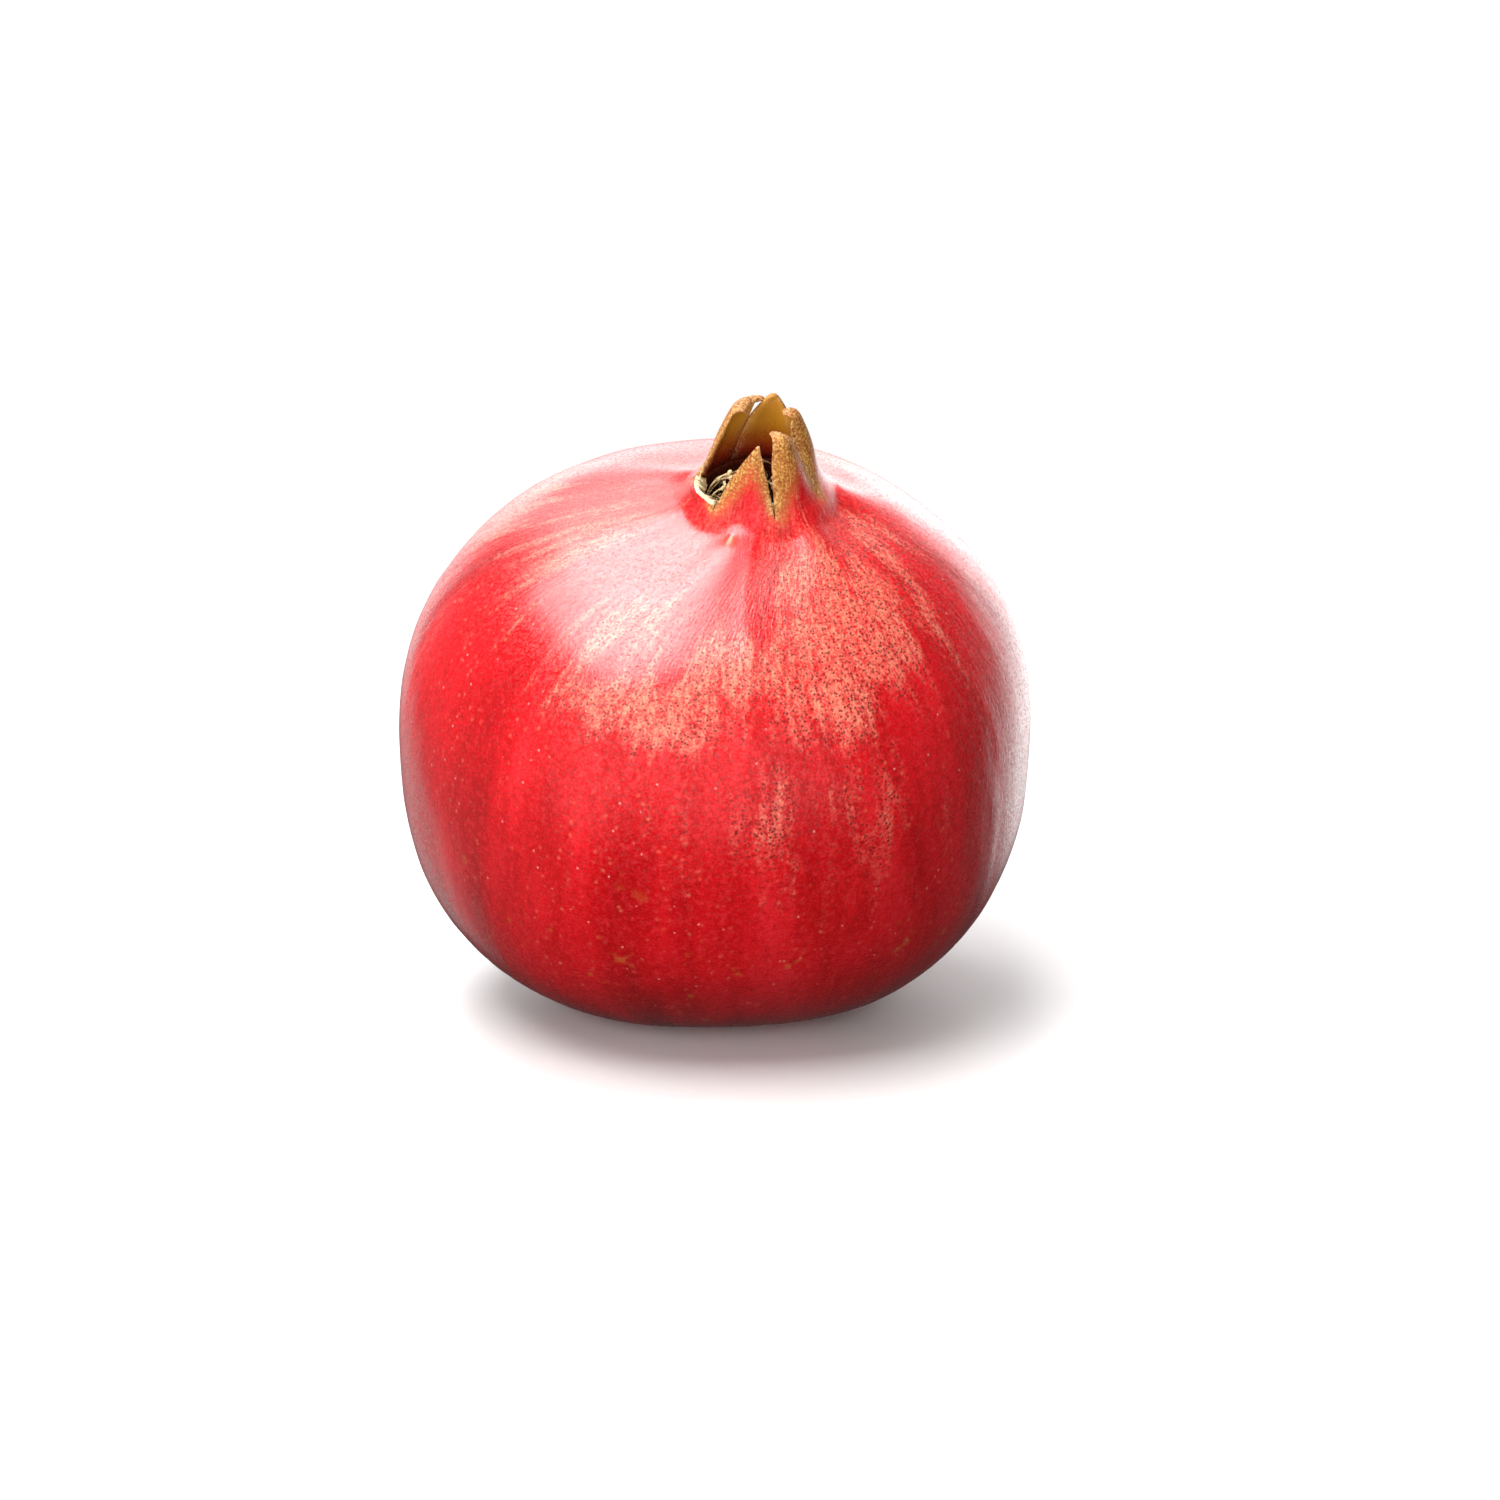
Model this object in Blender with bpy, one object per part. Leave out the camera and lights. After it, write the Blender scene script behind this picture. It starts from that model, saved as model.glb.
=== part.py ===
"""A whole ripe pomegranate, lying on the small flat spot of its underside.

Four pieces: the fruit (its rind and the calyx crown grew as one), the tuft of dried stamens inside
the crown, the dried style among them, and the cut stub of the stalk in the dimple at the other end.

The fruit is shaped in a frame of its own: the equator in the XY plane, the crown up +Z. Then it
leans towards -Y and is set down, so that the centre of its flat spot is the origin.
Lengths are in metres, angles in radians.
"""
import math
from collections import namedtuple

import bmesh
import bpy
from mathutils import Matrix, Vector

MM = 0.001

# The rind: two superellipse halves that meet at the equator
EQUATOR_RADIUS = 49.4 * MM
SHOULDER_HEIGHT = 42.6 * MM         # equator to the top of the shoulder, under the crown
UNDERSIDE_DEPTH = 45.6 * MM         # equator to the stalk end
SHOULDER_SQUARENESS = 2.36          # exponent of the superellipse, 2 for an ellipse
UNDERSIDE_SQUARENESS = 2.38
UNDERSIDE_SIDE_FULLNESS = 0.33      # exponent gained at the sides, and lost at front and back
STALK_END_SHIFT = 3.7 * MM          # the stalk end sits behind the middle
CROWN_SHIFT = 8.2 * MM              # the crown sits to the right of the middle
CROWN_SHIFT_SHARPNESS = 10.0        # how near to the crown that shift starts
THREE_SIDEDNESS = 0.007             # share of the radius, as are the facets
THREE_SIDED_TURN = math.radians(-42)
FACET_DEPTH = 0.008
FACET_TURN = math.radians(5)

# The neck, where the shoulder flares up into the crown
NECK_RADIUS = 11.0 * MM
NECK_RISE = 2.4 * MM
NECK_SPREAD = 4.5 * MM
RIDGE_LENGTH = 18.0 * MM            # of the ridges that run down the shoulder from the sepals

# The calyx crown
RING_RADIUS = 9.4 * MM              # outside of the ring that the sepals rise from
RING_RISE = 1.2 * MM                # height of that ring over the neck
RING_WALL = 1.6 * MM
SEPAL_TIP_THICKNESS = 0.8 * MM
NOTCH_WIDTH = 0.1                   # share of a sepal's narrowing that comes at once, at its foot
CUP_DEPTH = 9.0 * MM                # floor of the crown's cup under the ring
CUP_SQUARENESS = 3.0

# One sepal of the crown: where it starts and ends round the ring (0 is +X, anticlockwise from
# above), its height, how far its tip leans in and curls in, how far its tip is pulled round,
# how wide the tip is as a share of the base, how late the sepal narrows, how ragged its edge is,
# and the height of the ridge that runs down the shoulder from its keel
Sepal = namedtuple("Sepal", "start end height lean curl pull tip fullness ragged ridge")
SEPALS = [
    Sepal(-134, -77, 11.2 * MM, 3.4 * MM, 0.4 * MM, 1.3 * MM, 0.06, 1.8, 0.0, 1.0 * MM),
    Sepal(-77, -24, 13.0 * MM, 4.0 * MM, 1.2 * MM, 0.6 * MM, 0.16, 2.8, 0.0, 0.9 * MM),
    Sepal(-24, 44, 13.8 * MM, 3.6 * MM, 3.6 * MM, 0.2 * MM, 0.14, 2.4, 0.0, 1.7 * MM),
    Sepal(44, 113, 13.6 * MM, 3.8 * MM, 0.3 * MM, -1.5 * MM, 0.10, 2.2, 0.0, 1.0 * MM),
    Sepal(113, 167, 13.0 * MM, 3.7 * MM, 1.2 * MM, 0.1 * MM, 0.80, 2.8, 0.0, 1.0 * MM),
    Sepal(167, 226, 1.4 * MM, 0.2 * MM, 0.0 * MM, 0.0 * MM, 0.80, 1.2, 0.35, 0.8 * MM),
]

# The stalk end
CLEARANCE = 0.3 * MM                # gap between pieces that touch
STALK_RADIUS = 3.0 * MM
STALK_LENGTH = 2.0 * MM
DIMPLE_FLOOR_RADIUS = STALK_RADIUS + 2.0 * CLEARANCE
DIMPLE_SLOPE_WIDTH = 5.0 * MM
DIMPLE_DEPTH = 2.2 * MM

# The dried stamens and the style in the cup
STAMEN_COUNT = 28
STAMEN_THICKNESS = 0.42 * MM
STAMEN_LENGTH = 7.0 * MM
STAMEN_BASE_LIFT = 1.7 * MM         # of the ring that they stand on, over the cup's floor
STAMEN_BASE_WIDTH = 1.5 * MM
STAMEN_BASE_HEIGHT = 0.7 * MM
STAMEN_OUTWARD_BEND = 1.9 * MM
STAMEN_INWARD_BEND = 1.3 * MM
STAMEN_WAVE = 0.3 * MM
ANTHER_SWELL = 1.7                  # anther's width as a share of the filament's
STYLE_RADIUS = 0.8 * MM
STYLE_LENGTH = 8.4 * MM
STIGMA_RADIUS = 1.2 * MM

# How the fruit lies
LEAN = math.radians(20)             # of the crown, towards -Y
SEAT_PRESS = 1.3 * MM               # how far the underside is flattened
SEAT_BLEND = 0.5 * MM               # how softly the flat spot ends

# Mesh detail
COLUMNS_PER_SEPAL = 8
UNDERSIDE_RINGS = 20
SHOULDER_RINGS = 15
RING_STEPS = 2
SEPAL_STEPS = 6
CUP_STEPS = 6
STAMEN_STEPS = 5


def superellipse(across, exponent):
    """How far along the axis, from 0 at the equator to 1 at the pole, for a share of the radius."""
    return (1.0 - across ** exponent) ** (1.0 / exponent)


def ring_shares(inner_radius, steps):
    """Shares of the equator's radius, from the equator to an inner ring, closer together at first."""
    inner = math.asin(inner_radius / EQUATOR_RADIUS)
    return [math.cos((math.pi / 2.0 - inner) * step / steps) for step in range(steps + 1)]


def column_places():
    """Azimuth of each column of the mesh round the fruit, and height there of the keels' ridges."""
    places = []
    for number, sepal in enumerate(SEPALS):
        for step in range(COLUMNS_PER_SEPAL):
            share = step / COLUMNS_PER_SEPAL
            azimuth = math.radians(sepal.start + (sepal.end - sepal.start) * share)
            keel = (1.0 - abs(2.0 * share - 1.0)) ** 2
            valley = (SEPALS[number - 1].ridge * max(0.0, 0.5 - share)
                      + SEPALS[(number + 1) % len(SEPALS)].ridge * max(0.0, share - 0.5)
                      + sepal.ridge * (1.0 - abs(share - 0.5)))
            places.append((azimuth, sepal.ridge * keel - valley / 3.0))
    return places


def facets(azimuth, across):
    """Factor on the radius for the fruit's rounded sides, which fade out towards both ends."""
    three = -THREE_SIDEDNESS * math.cos(3.0 * (azimuth - THREE_SIDED_TURN)) * across
    six = FACET_DEPTH * math.cos(6.0 * (azimuth - FACET_TURN)) * math.sqrt(across)
    return 1.0 + three + six


def underside_point(across, azimuth):
    exponent = UNDERSIDE_SQUARENESS + UNDERSIDE_SIDE_FULLNESS * math.cos(2.0 * azimuth)
    along = superellipse(across, exponent)
    radius = EQUATOR_RADIUS * across * facets(azimuth, across)
    from_floor = max(0.0, EQUATOR_RADIUS * across - DIMPLE_FLOOR_RADIUS) / DIMPLE_SLOPE_WIDTH
    dimple = max(0.0, 1.0 - from_floor ** 2) ** 2
    return Vector((
        radius * math.cos(azimuth),
        radius * math.sin(azimuth) + STALK_END_SHIFT * along ** 2,
        DIMPLE_DEPTH * dimple - UNDERSIDE_DEPTH * along,
    ))


def shoulder_point(across, azimuth, ridge):
    along = superellipse(across, SHOULDER_SQUARENESS)
    radius = EQUATOR_RADIUS * across * facets(azimuth, across)
    from_neck = EQUATOR_RADIUS * across - NECK_RADIUS
    flare = NECK_RISE * math.exp(-from_neck / NECK_SPREAD)
    flare += ridge * math.exp(-from_neck / RIDGE_LENGTH)
    return Vector((
        radius * math.cos(azimuth) + CROWN_SHIFT * along ** CROWN_SHIFT_SHARPNESS,
        radius * math.sin(azimuth),
        SHOULDER_HEIGHT * along + flare,
    ))


def crown_base():
    """Centre of the ring that the sepals rise from."""
    along = superellipse(NECK_RADIUS / EQUATOR_RADIUS, SHOULDER_SQUARENESS)
    height = SHOULDER_HEIGHT * along + NECK_RISE + RING_RISE
    return Vector((CROWN_SHIFT * along ** CROWN_SHIFT_SHARPNESS, 0.0, height))


def round_points(centre, radius, azimuths):
    """Points of a level circle."""
    return [centre + radius * Vector((math.cos(a), math.sin(a), 0.0)) for a in azimuths]


def even_turn(count):
    return [2.0 * math.pi * step / count for step in range(count)]


def sepal_point(sepal, across, up, wall):
    """A point of a sepal: across from -1 to 1, up from 0 to 1, wall 0 outside and 1 inside."""
    middle = math.radians((sepal.start + sepal.end) / 2.0)
    half = math.radians((sepal.end - sepal.start) / 2.0)
    narrowing = NOTCH_WIDTH * math.sqrt(up) + (1.0 - NOTCH_WIDTH) * up ** sepal.fullness
    width = 1.0 - (1.0 - sepal.tip) * narrowing
    azimuth = middle + across * half * width
    thickness = RING_WALL + (SEPAL_TIP_THICKNESS - RING_WALL) * math.sqrt(up)
    radius = RING_RADIUS - sepal.lean * up ** 1.3 - sepal.curl * up ** 8 - thickness * wall
    ragged = 1.0 + sepal.ragged * math.cos(11.0 * across + 2.0)
    height = sepal.height * up * ragged - 0.4 * sepal.curl * up ** 8
    pull = sepal.pull * up ** 2
    return crown_base() + Vector((
        radius * math.cos(azimuth) - pull * math.sin(middle),
        radius * math.sin(azimuth) + pull * math.cos(middle),
        height,
    ))


def cup_radius(depth_share):
    """Radius of the crown's cup, from its mouth at 0 down to its floor at 1."""
    shrink = max(0.0, 1.0 - depth_share ** CUP_SQUARENESS) ** (1.0 / CUP_SQUARENESS)
    return (RING_RADIUS - RING_WALL) * shrink


def join_rows(mesh, lower, upper, closed=True):
    """Faces between two rows of vertices that run anticlockwise as seen from above."""
    count = len(lower)
    for index in range(count if closed else count - 1):
        after = (index + 1) % count
        mesh.faces.new((lower[index], lower[after], upper[after], upper[index]))


def add_row(mesh, points):
    return [mesh.verts.new(point) for point in points]


def add_sepal(mesh, sepal, outer_base, inner_base):
    """One sepal on its stretch of the ring, closed over its edge and tip."""
    outer, inner = [outer_base], [inner_base]
    for step in range(1, SEPAL_STEPS + 1):
        up = step / SEPAL_STEPS
        for rows, wall in ((outer, 0.0), (inner, 1.0)):
            places = (2.0 * k / COLUMNS_PER_SEPAL - 1.0 for k in range(COLUMNS_PER_SEPAL + 1))
            rows.append(add_row(mesh, [sepal_point(sepal, a, up, wall) for a in places]))
    for step in range(SEPAL_STEPS):
        join_rows(mesh, outer[step], outer[step + 1], closed=False)
        join_rows(mesh, inner[step + 1], inner[step], closed=False)
        for edge, flip in ((0, False), (-1, True)):
            strip = (outer[step][edge], outer[step + 1][edge],
                     inner[step + 1][edge], inner[step][edge])
            mesh.faces.new(reversed(strip) if flip else strip)
    join_rows(mesh, outer[-1], inner[-1], closed=False)


def fruit_mesh():
    """The rind from the stalk end up, out over the crown, and down to the floor of its cup."""
    mesh = bmesh.new()
    places = column_places()
    stalk_pole = mesh.verts.new(underside_point(0.0, 0.0))
    rows = []
    for across in reversed(ring_shares(DIMPLE_FLOOR_RADIUS, UNDERSIDE_RINGS)[1:]):
        rows.append(add_row(mesh, [underside_point(across, a) for a, _ in places]))
    for across in ring_shares(NECK_RADIUS, SHOULDER_RINGS):
        rows.append(add_row(mesh, [shoulder_point(across, a, ridge) for a, ridge in places]))
    azimuths = [azimuth for azimuth, _ in places]
    neck = [vertex.co.copy() for vertex in rows[-1]]
    ring = round_points(crown_base(), RING_RADIUS, azimuths)
    for step in range(1, RING_STEPS + 1):
        share = step / RING_STEPS
        rows.append(add_row(mesh, [low.lerp(high, share) for low, high in zip(neck, ring)]))
    for lower, upper in zip(rows, rows[1:]):
        join_rows(mesh, lower, upper)
    for index, vertex in enumerate(rows[0]):
        mesh.faces.new((stalk_pole, rows[0][(index + 1) % len(places)], vertex))

    cup_rows = []
    for step in range(CUP_STEPS):
        share = math.sin(math.pi / 2.0 * step / CUP_STEPS)
        centre = crown_base() - Vector((0.0, 0.0, CUP_DEPTH * share))
        cup_rows.append(add_row(mesh, round_points(centre, cup_radius(share), azimuths)))
    for upper, lower in zip(cup_rows, cup_rows[1:]):
        join_rows(mesh, upper, lower)
    cup_pole = mesh.verts.new(crown_base() - Vector((0.0, 0.0, CUP_DEPTH)))
    for index, vertex in enumerate(cup_rows[-1]):
        mesh.faces.new((cup_pole, vertex, cup_rows[-1][(index + 1) % len(places)]))

    outer_ring, inner_ring = rows[-1], cup_rows[0]
    for number, sepal in enumerate(SEPALS):
        first = number * COLUMNS_PER_SEPAL
        stretch = [(first + k) % len(places) for k in range(COLUMNS_PER_SEPAL + 1)]
        add_sepal(mesh, sepal, [outer_ring[k] for k in stretch], [inner_ring[k] for k in stretch])
    return mesh


def stamen_mesh():
    """A ring that clings to the cup, with a bent filament and its anther on each of its faces."""
    mesh = bmesh.new()
    outer = cup_radius(1.0 - STAMEN_BASE_LIFT / CUP_DEPTH) - 2.0 * CLEARANCE
    inner = outer - STAMEN_BASE_WIDTH
    corners = ((inner, 0.0), (outer, 0.0), (outer, STAMEN_BASE_HEIGHT), (inner, STAMEN_BASE_HEIGHT))
    rows = []
    for radius, height in corners:
        centre = Vector((0.0, 0.0, height))
        rows.append(add_row(mesh, round_points(centre, radius, even_turn(STAMEN_COUNT))))
    for index, row in enumerate(rows):
        join_rows(mesh, row, rows[(index + 1) % len(rows)])
    bmesh.ops.recalc_face_normals(mesh, faces=mesh.faces)
    tops = [face for face in mesh.faces if face.normal.z > 0.9]
    tops.sort(key=lambda face: math.atan2(*face.calc_center_median().yx))
    for number, top in enumerate(tops):
        grow_stamen(mesh, top, number)
    return mesh


def grow_stamen(mesh, face, number):
    """Extrudes one filament from a face of the ring, bent outwards or inwards by turns."""
    foot = face.calc_center_median()
    outwards = Vector((foot.x, foot.y, 0.0)).normalized()
    sideways = Vector((-outwards.y, outwards.x, 0.0))
    bend = STAMEN_OUTWARD_BEND if number % 2 else -STAMEN_INWARD_BEND
    length = STAMEN_LENGTH * (0.86 + 0.14 * math.sin(2.4 * number))
    for step in range(1, STAMEN_STEPS + 1):
        face = bmesh.ops.extrude_discrete_faces(mesh, faces=[face])["faces"][0]
        middle = face.calc_center_median()
        share = step / STAMEN_STEPS
        half = STAMEN_THICKNESS / 2.0 * (ANTHER_SWELL if step == STAMEN_STEPS - 1 else 1.0)
        place = foot + outwards * bend * share + Vector((0.0, 0.0, length * share))
        place += sideways * STAMEN_WAVE * math.sin(4.0 * share + number)
        for vertex in face.verts:
            offset = vertex.co - middle
            vertex.co = place + sideways * math.copysign(half, offset.dot(sideways)) \
                + outwards * math.copysign(half, offset.dot(outwards))


def turned_mesh(profile, segments):
    """A solid turned round Z from points of radius and height, whose ends lie on the axis."""
    mesh = bmesh.new()
    bottom = mesh.verts.new((0.0, 0.0, profile[0][1]))
    top = mesh.verts.new((0.0, 0.0, profile[-1][1]))
    rows = []
    for radius, height in profile[1:-1]:
        rows.append(add_row(mesh, round_points(Vector((0.0, 0.0, height)), radius, even_turn(segments))))
    for lower, upper in zip(rows, rows[1:]):
        join_rows(mesh, lower, upper)
    for index in range(segments):
        after = (index + 1) % segments
        mesh.faces.new((bottom, rows[0][after], rows[0][index]))
        mesh.faces.new((top, rows[-1][index], rows[-1][after]))
    return mesh


def style_mesh():
    """The dried style, a thin column that ends in the knob of its stigma."""
    neck = STYLE_LENGTH - 2.0 * STIGMA_RADIUS
    return turned_mesh([
        (0.0, 0.0),
        (1.3 * STYLE_RADIUS, 0.0),
        (STYLE_RADIUS, 0.3 * neck),
        (0.8 * STYLE_RADIUS, neck),
        (STIGMA_RADIUS, neck + 0.7 * STIGMA_RADIUS),
        (0.85 * STIGMA_RADIUS, neck + 1.6 * STIGMA_RADIUS),
        (0.4 * STIGMA_RADIUS, STYLE_LENGTH),
        (0.0, STYLE_LENGTH)], 12)


def stalk_mesh():
    """The woody stub left where the stalk was cut, standing down from the dimple's floor."""
    return turned_mesh([
        (0.0, -STALK_LENGTH),
        (0.8 * STALK_RADIUS, -STALK_LENGTH),
        (0.9 * STALK_RADIUS, -0.8 * STALK_LENGTH),
        (0.9 * STALK_RADIUS, -0.3 * STALK_LENGTH),
        (STALK_RADIUS, 0.0),
        (0.0, 0.0)], 16)


def material(name, colour, roughness):
    made = bpy.data.materials.new(name)
    made.use_nodes = True
    shader = made.node_tree.nodes["Principled BSDF"]
    shader.inputs["Base Color"].default_value = (*colour, 1.0)
    shader.inputs["Roughness"].default_value = roughness
    shader.inputs["Metallic"].default_value = 0.0
    return made


def add_piece(name, mesh, place, surface):
    """Makes an object of a mesh whose place is given in the fruit's own frame."""
    bmesh.ops.recalc_face_normals(mesh, faces=mesh.faces)
    data = bpy.data.meshes.new(name)
    for vertex in mesh.verts:
        vertex.co = place @ vertex.co
    mesh.to_mesh(data)
    mesh.free()
    data.shade_smooth()
    data.materials.append(surface)
    piece = bpy.data.objects.new(name, data)
    bpy.context.collection.objects.link(piece)
    return piece


def seat_centre():
    """Middle of the patch that is pressed flat, at the height of the underside's lowest point."""
    turned = Matrix.Rotation(LEAN, 3, "X")
    points = []
    for across in ring_shares(DIMPLE_FLOOR_RADIUS, 4 * UNDERSIDE_RINGS):
        points += [turned @ underside_point(across, azimuth) for azimuth in even_turn(120)]
    lowest = min(point.z for point in points)
    pressed = [point for point in points if point.z < lowest + SEAT_PRESS]
    middle = sum(pressed, Vector()) / len(pressed)
    return Vector((middle.x, middle.y, lowest))


def press_seat(data):
    """Flattens the underside on the plane Z = 0, with a soft edge round the flat spot."""
    for vertex in data.vertices:
        height = vertex.co.z
        if height <= -SEAT_BLEND:
            vertex.co.z = 0.0
        elif height < SEAT_BLEND:
            vertex.co.z = (height + SEAT_BLEND) ** 2 / (4.0 * SEAT_BLEND)


for old in list(bpy.data.objects):
    bpy.data.objects.remove(old)

down = Vector((0.0, 0.0, -1.0))
lying = Matrix.Translation(down * SEAT_PRESS - seat_centre()) @ Matrix.Rotation(LEAN, 4, "X")

fruit = add_piece("fruit", fruit_mesh(), lying, material("red_rind", (0.58, 0.02, 0.03), 0.3))
press_seat(fruit.data)

stamen_foot = crown_base() + down * (CUP_DEPTH - STAMEN_BASE_LIFT)
add_piece("stamens", stamen_mesh(), lying @ Matrix.Translation(stamen_foot),
          material("dry_filament", (0.62, 0.44, 0.2), 0.8))
style_foot = crown_base() + down * (CUP_DEPTH - CLEARANCE)
add_piece("style", style_mesh(), lying @ Matrix.Translation(style_foot),
          material("dry_style", (0.45, 0.28, 0.12), 0.8))
stalk_top = underside_point(0.0, 0.0) + down * CLEARANCE
add_piece("stalk_stub", stalk_mesh(), lying @ Matrix.Translation(stalk_top),
          material("cut_stalk", (0.3, 0.19, 0.1), 0.85))
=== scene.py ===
import math
from collections import namedtuple

import bmesh
import bpy
from mathutils import Matrix, Vector, noise


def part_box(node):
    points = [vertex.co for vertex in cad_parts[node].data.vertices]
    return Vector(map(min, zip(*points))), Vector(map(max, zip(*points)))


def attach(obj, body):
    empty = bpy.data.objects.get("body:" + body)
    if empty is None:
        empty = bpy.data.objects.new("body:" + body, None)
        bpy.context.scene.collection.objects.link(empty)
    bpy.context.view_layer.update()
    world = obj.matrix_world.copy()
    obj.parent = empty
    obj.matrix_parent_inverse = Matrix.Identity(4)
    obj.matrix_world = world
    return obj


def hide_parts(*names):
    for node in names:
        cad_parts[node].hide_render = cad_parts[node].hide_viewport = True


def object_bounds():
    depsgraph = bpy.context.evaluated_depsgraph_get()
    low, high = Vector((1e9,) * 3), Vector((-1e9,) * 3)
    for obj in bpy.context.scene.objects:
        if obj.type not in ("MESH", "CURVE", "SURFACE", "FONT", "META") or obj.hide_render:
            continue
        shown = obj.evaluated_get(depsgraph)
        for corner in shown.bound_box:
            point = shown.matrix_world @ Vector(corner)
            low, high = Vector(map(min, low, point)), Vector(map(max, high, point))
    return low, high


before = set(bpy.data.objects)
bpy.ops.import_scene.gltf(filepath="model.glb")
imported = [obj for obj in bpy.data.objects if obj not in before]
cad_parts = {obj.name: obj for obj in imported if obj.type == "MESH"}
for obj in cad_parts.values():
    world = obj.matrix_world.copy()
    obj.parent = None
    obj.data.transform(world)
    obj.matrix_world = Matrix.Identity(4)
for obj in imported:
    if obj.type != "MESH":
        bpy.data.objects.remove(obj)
cad_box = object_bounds()

# ---------------------------------------------------------------------------------------------
# The fruit: a whole ripe pomegranate, a leathery red rind under a thin coat of its own wax.
# The six sepals of the flower stay on it as a dried crown round a cup; one is broken off low.
# It grew in one piece, leans 20 degrees forward and rests on a spot that its weight has pressed.
# ---------------------------------------------------------------------------------------------
MM = 0.001
EQUATOR_RADIUS = 49.4 * MM
SHOULDER_HEIGHT = 42.6 * MM
UNDERSIDE_DEPTH = 45.6 * MM
SHOULDER_SQUARENESS = 2.36          # exponents of the two superellipse halves
UNDERSIDE_SQUARENESS = 2.38
UNDERSIDE_SIDE_FULLNESS = 0.33
STALK_END_SHIFT = 3.7 * MM
CROWN_SHIFT = 8.2 * MM
CROWN_SHIFT_SHARPNESS = 10.0
THREE_SIDEDNESS = 0.007
THREE_SIDED_TURN = math.radians(-42)
FACET_DEPTH = 0.008
FACET_TURN = math.radians(5)
LEAN = math.radians(20)
SEAT_PRESS = 1.3 * MM
SEAT_BLEND = 0.5 * MM

NECK_RADIUS = 11.0 * MM
NECK_RISE = 2.4 * MM
NECK_SPREAD = 4.5 * MM
NECK_EDGE = 12.5 * MM               # where the shoulder turns up into the crown
RIDGE_LENGTH = 18.0 * MM
CREASE_AZIMUTH = math.radians(-94)  # a fold in the rind that runs down the shoulder
CREASE_TURN = math.radians(15)      # how far it has swung to the right by its lower end
CREASE_REACH = 26.0 * MM
CREASE_HEIGHT = 0.6 * MM
CREASE_WIDTH = 4.0 * MM
CREASE_LENGTH = 20.0 * MM
WART_PLACE = Vector((2.7, -12.9)) * MM
WART_RADIUS = 0.8 * MM
WART_HEIGHT = 0.5 * MM

DIMPLE_FLOOR_RADIUS = 3.6 * MM      # round the stalk
DIMPLE_SLOPE_WIDTH = 5.0 * MM
DIMPLE_DEPTH = 2.2 * MM

RING_RADIUS = 10.7 * MM             # the ring that the sepals rise from
RING_RISE = 1.2 * MM
RING_SAG = 0.15 * MM                # how hollow the rind is below that ring
RING_WALL = 1.6 * MM
TIP_THICKNESS = 0.6 * MM
LEAN_EASE = 0.3                     # how gently a sepal takes up its lean above its foot
FOOT_FLARE = 0.75                   # how much more a sepal leans at its foot, in radians
FOOT_SPREAD = 1.6 * MM
KEEL_HEIGHT = 0.35 * MM
NOTCH_WIDTH = 0.1
CUP_DEPTH = 9.0 * MM
CUP_SQUARENESS = 3.0

# A sepal: where it starts and ends round the ring in degrees, its length, how far it leans in,
# how far its tip is pulled round, how wide the tip is as a share of the base, how late it
# narrows, how far the tip hooks in and where that starts, how far its margins fold in, how
# deeply they wave, how ragged it is torn, and the ridge that runs down from its keel.
# Lengths are in millimetres.
Sepal = namedtuple(
    "Sepal", "start end length lean pull tip fullness hook hook_start fold wave torn ridge")
IN_MM = ("length", "lean", "pull", "fold", "wave", "ridge")
SEPALS = [
    Sepal(-134, -77, 12.0, 2.8, 1.5, 0.05, 2.1, 0.1, 0.80, 0.3, 0.2, 0.0, 1.0),
    Sepal(-77, -24, 15.0, 3.2, -1.3, 0.26, 3.2, 1.6, 0.72, 1.6, 0.3, 0.0, 0.9),
    Sepal(-24, 44, 16.6, 4.6, -0.6, 0.36, 3.4, 1.7, 0.76, 3.4, 0.3, 0.0, 1.7),
    Sepal(44, 119, 14.2, 3.2, -1.3, 0.04, 3.1, 0.5, 0.88, 0.5, 0.3, 0.0, 1.0),
    Sepal(119, 167, 15.5, 4.3, -3.1, 1.6, 2.0, 2.1, 0.76, 0.9, 0.3, 0.0, 1.0),
    Sepal(167, 226, 1.8, 0.2, 0.0, 0.80, 1.2, 0.0, 0.80, 0.0, 0.0, 0.2, 0.8),
]
SEPALS = [sepal._replace(**{name: getattr(sepal, name) * MM for name in IN_MM})
          for sepal in SEPALS]
TORN_WALL = 2.1 * MM                # the broken sepal is torn off where it is thick

# Sunned patches on the rind: azimuth, elevation, their spreads in degrees, and strength
BLUSHES = [
    (-50, 50, 25, 15, 1.0), (-62, 40, 16, 11, 0.85), (-62, 64, 24, 12, 0.7),
    (-104, 38, 20, 7, 0.9), (-86, 46, 16, 9, 0.7), (-120, 52, 20, 12, 0.6),
    (-20, 62, 18, 14, 0.6), (60, 48, 30, 16, 0.9), (150, 40, 26, 15, 0.8),
    (105, 20, 20, 14, 0.5), (-170, 58, 22, 14, 0.6), (-72, 16, 26, 22, 0.27),
]

# What is marked on every vertex of the rind for its material
MARKS = ("rise", "keel", "blush", "inner", "margin", "torn", "wart")

COLUMNS_PER_SEPAL = 48
UNDERSIDE_RINGS = 84
SHOULDER_RINGS = 112
RING_STEPS = 4
SEPAL_ROWS = 28
CUP_STEPS = 14


def superellipse(across, exponent):
    return (1.0 - across ** exponent) ** (1.0 / exponent)


def ring_shares(inner_radius, steps):
    """Shares of the equator's radius, from the equator in to a ring, closer together at first."""
    inner = math.asin(inner_radius / EQUATOR_RADIUS)
    return [math.cos((math.pi / 2.0 - inner) * step / steps) for step in range(steps + 1)]


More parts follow.
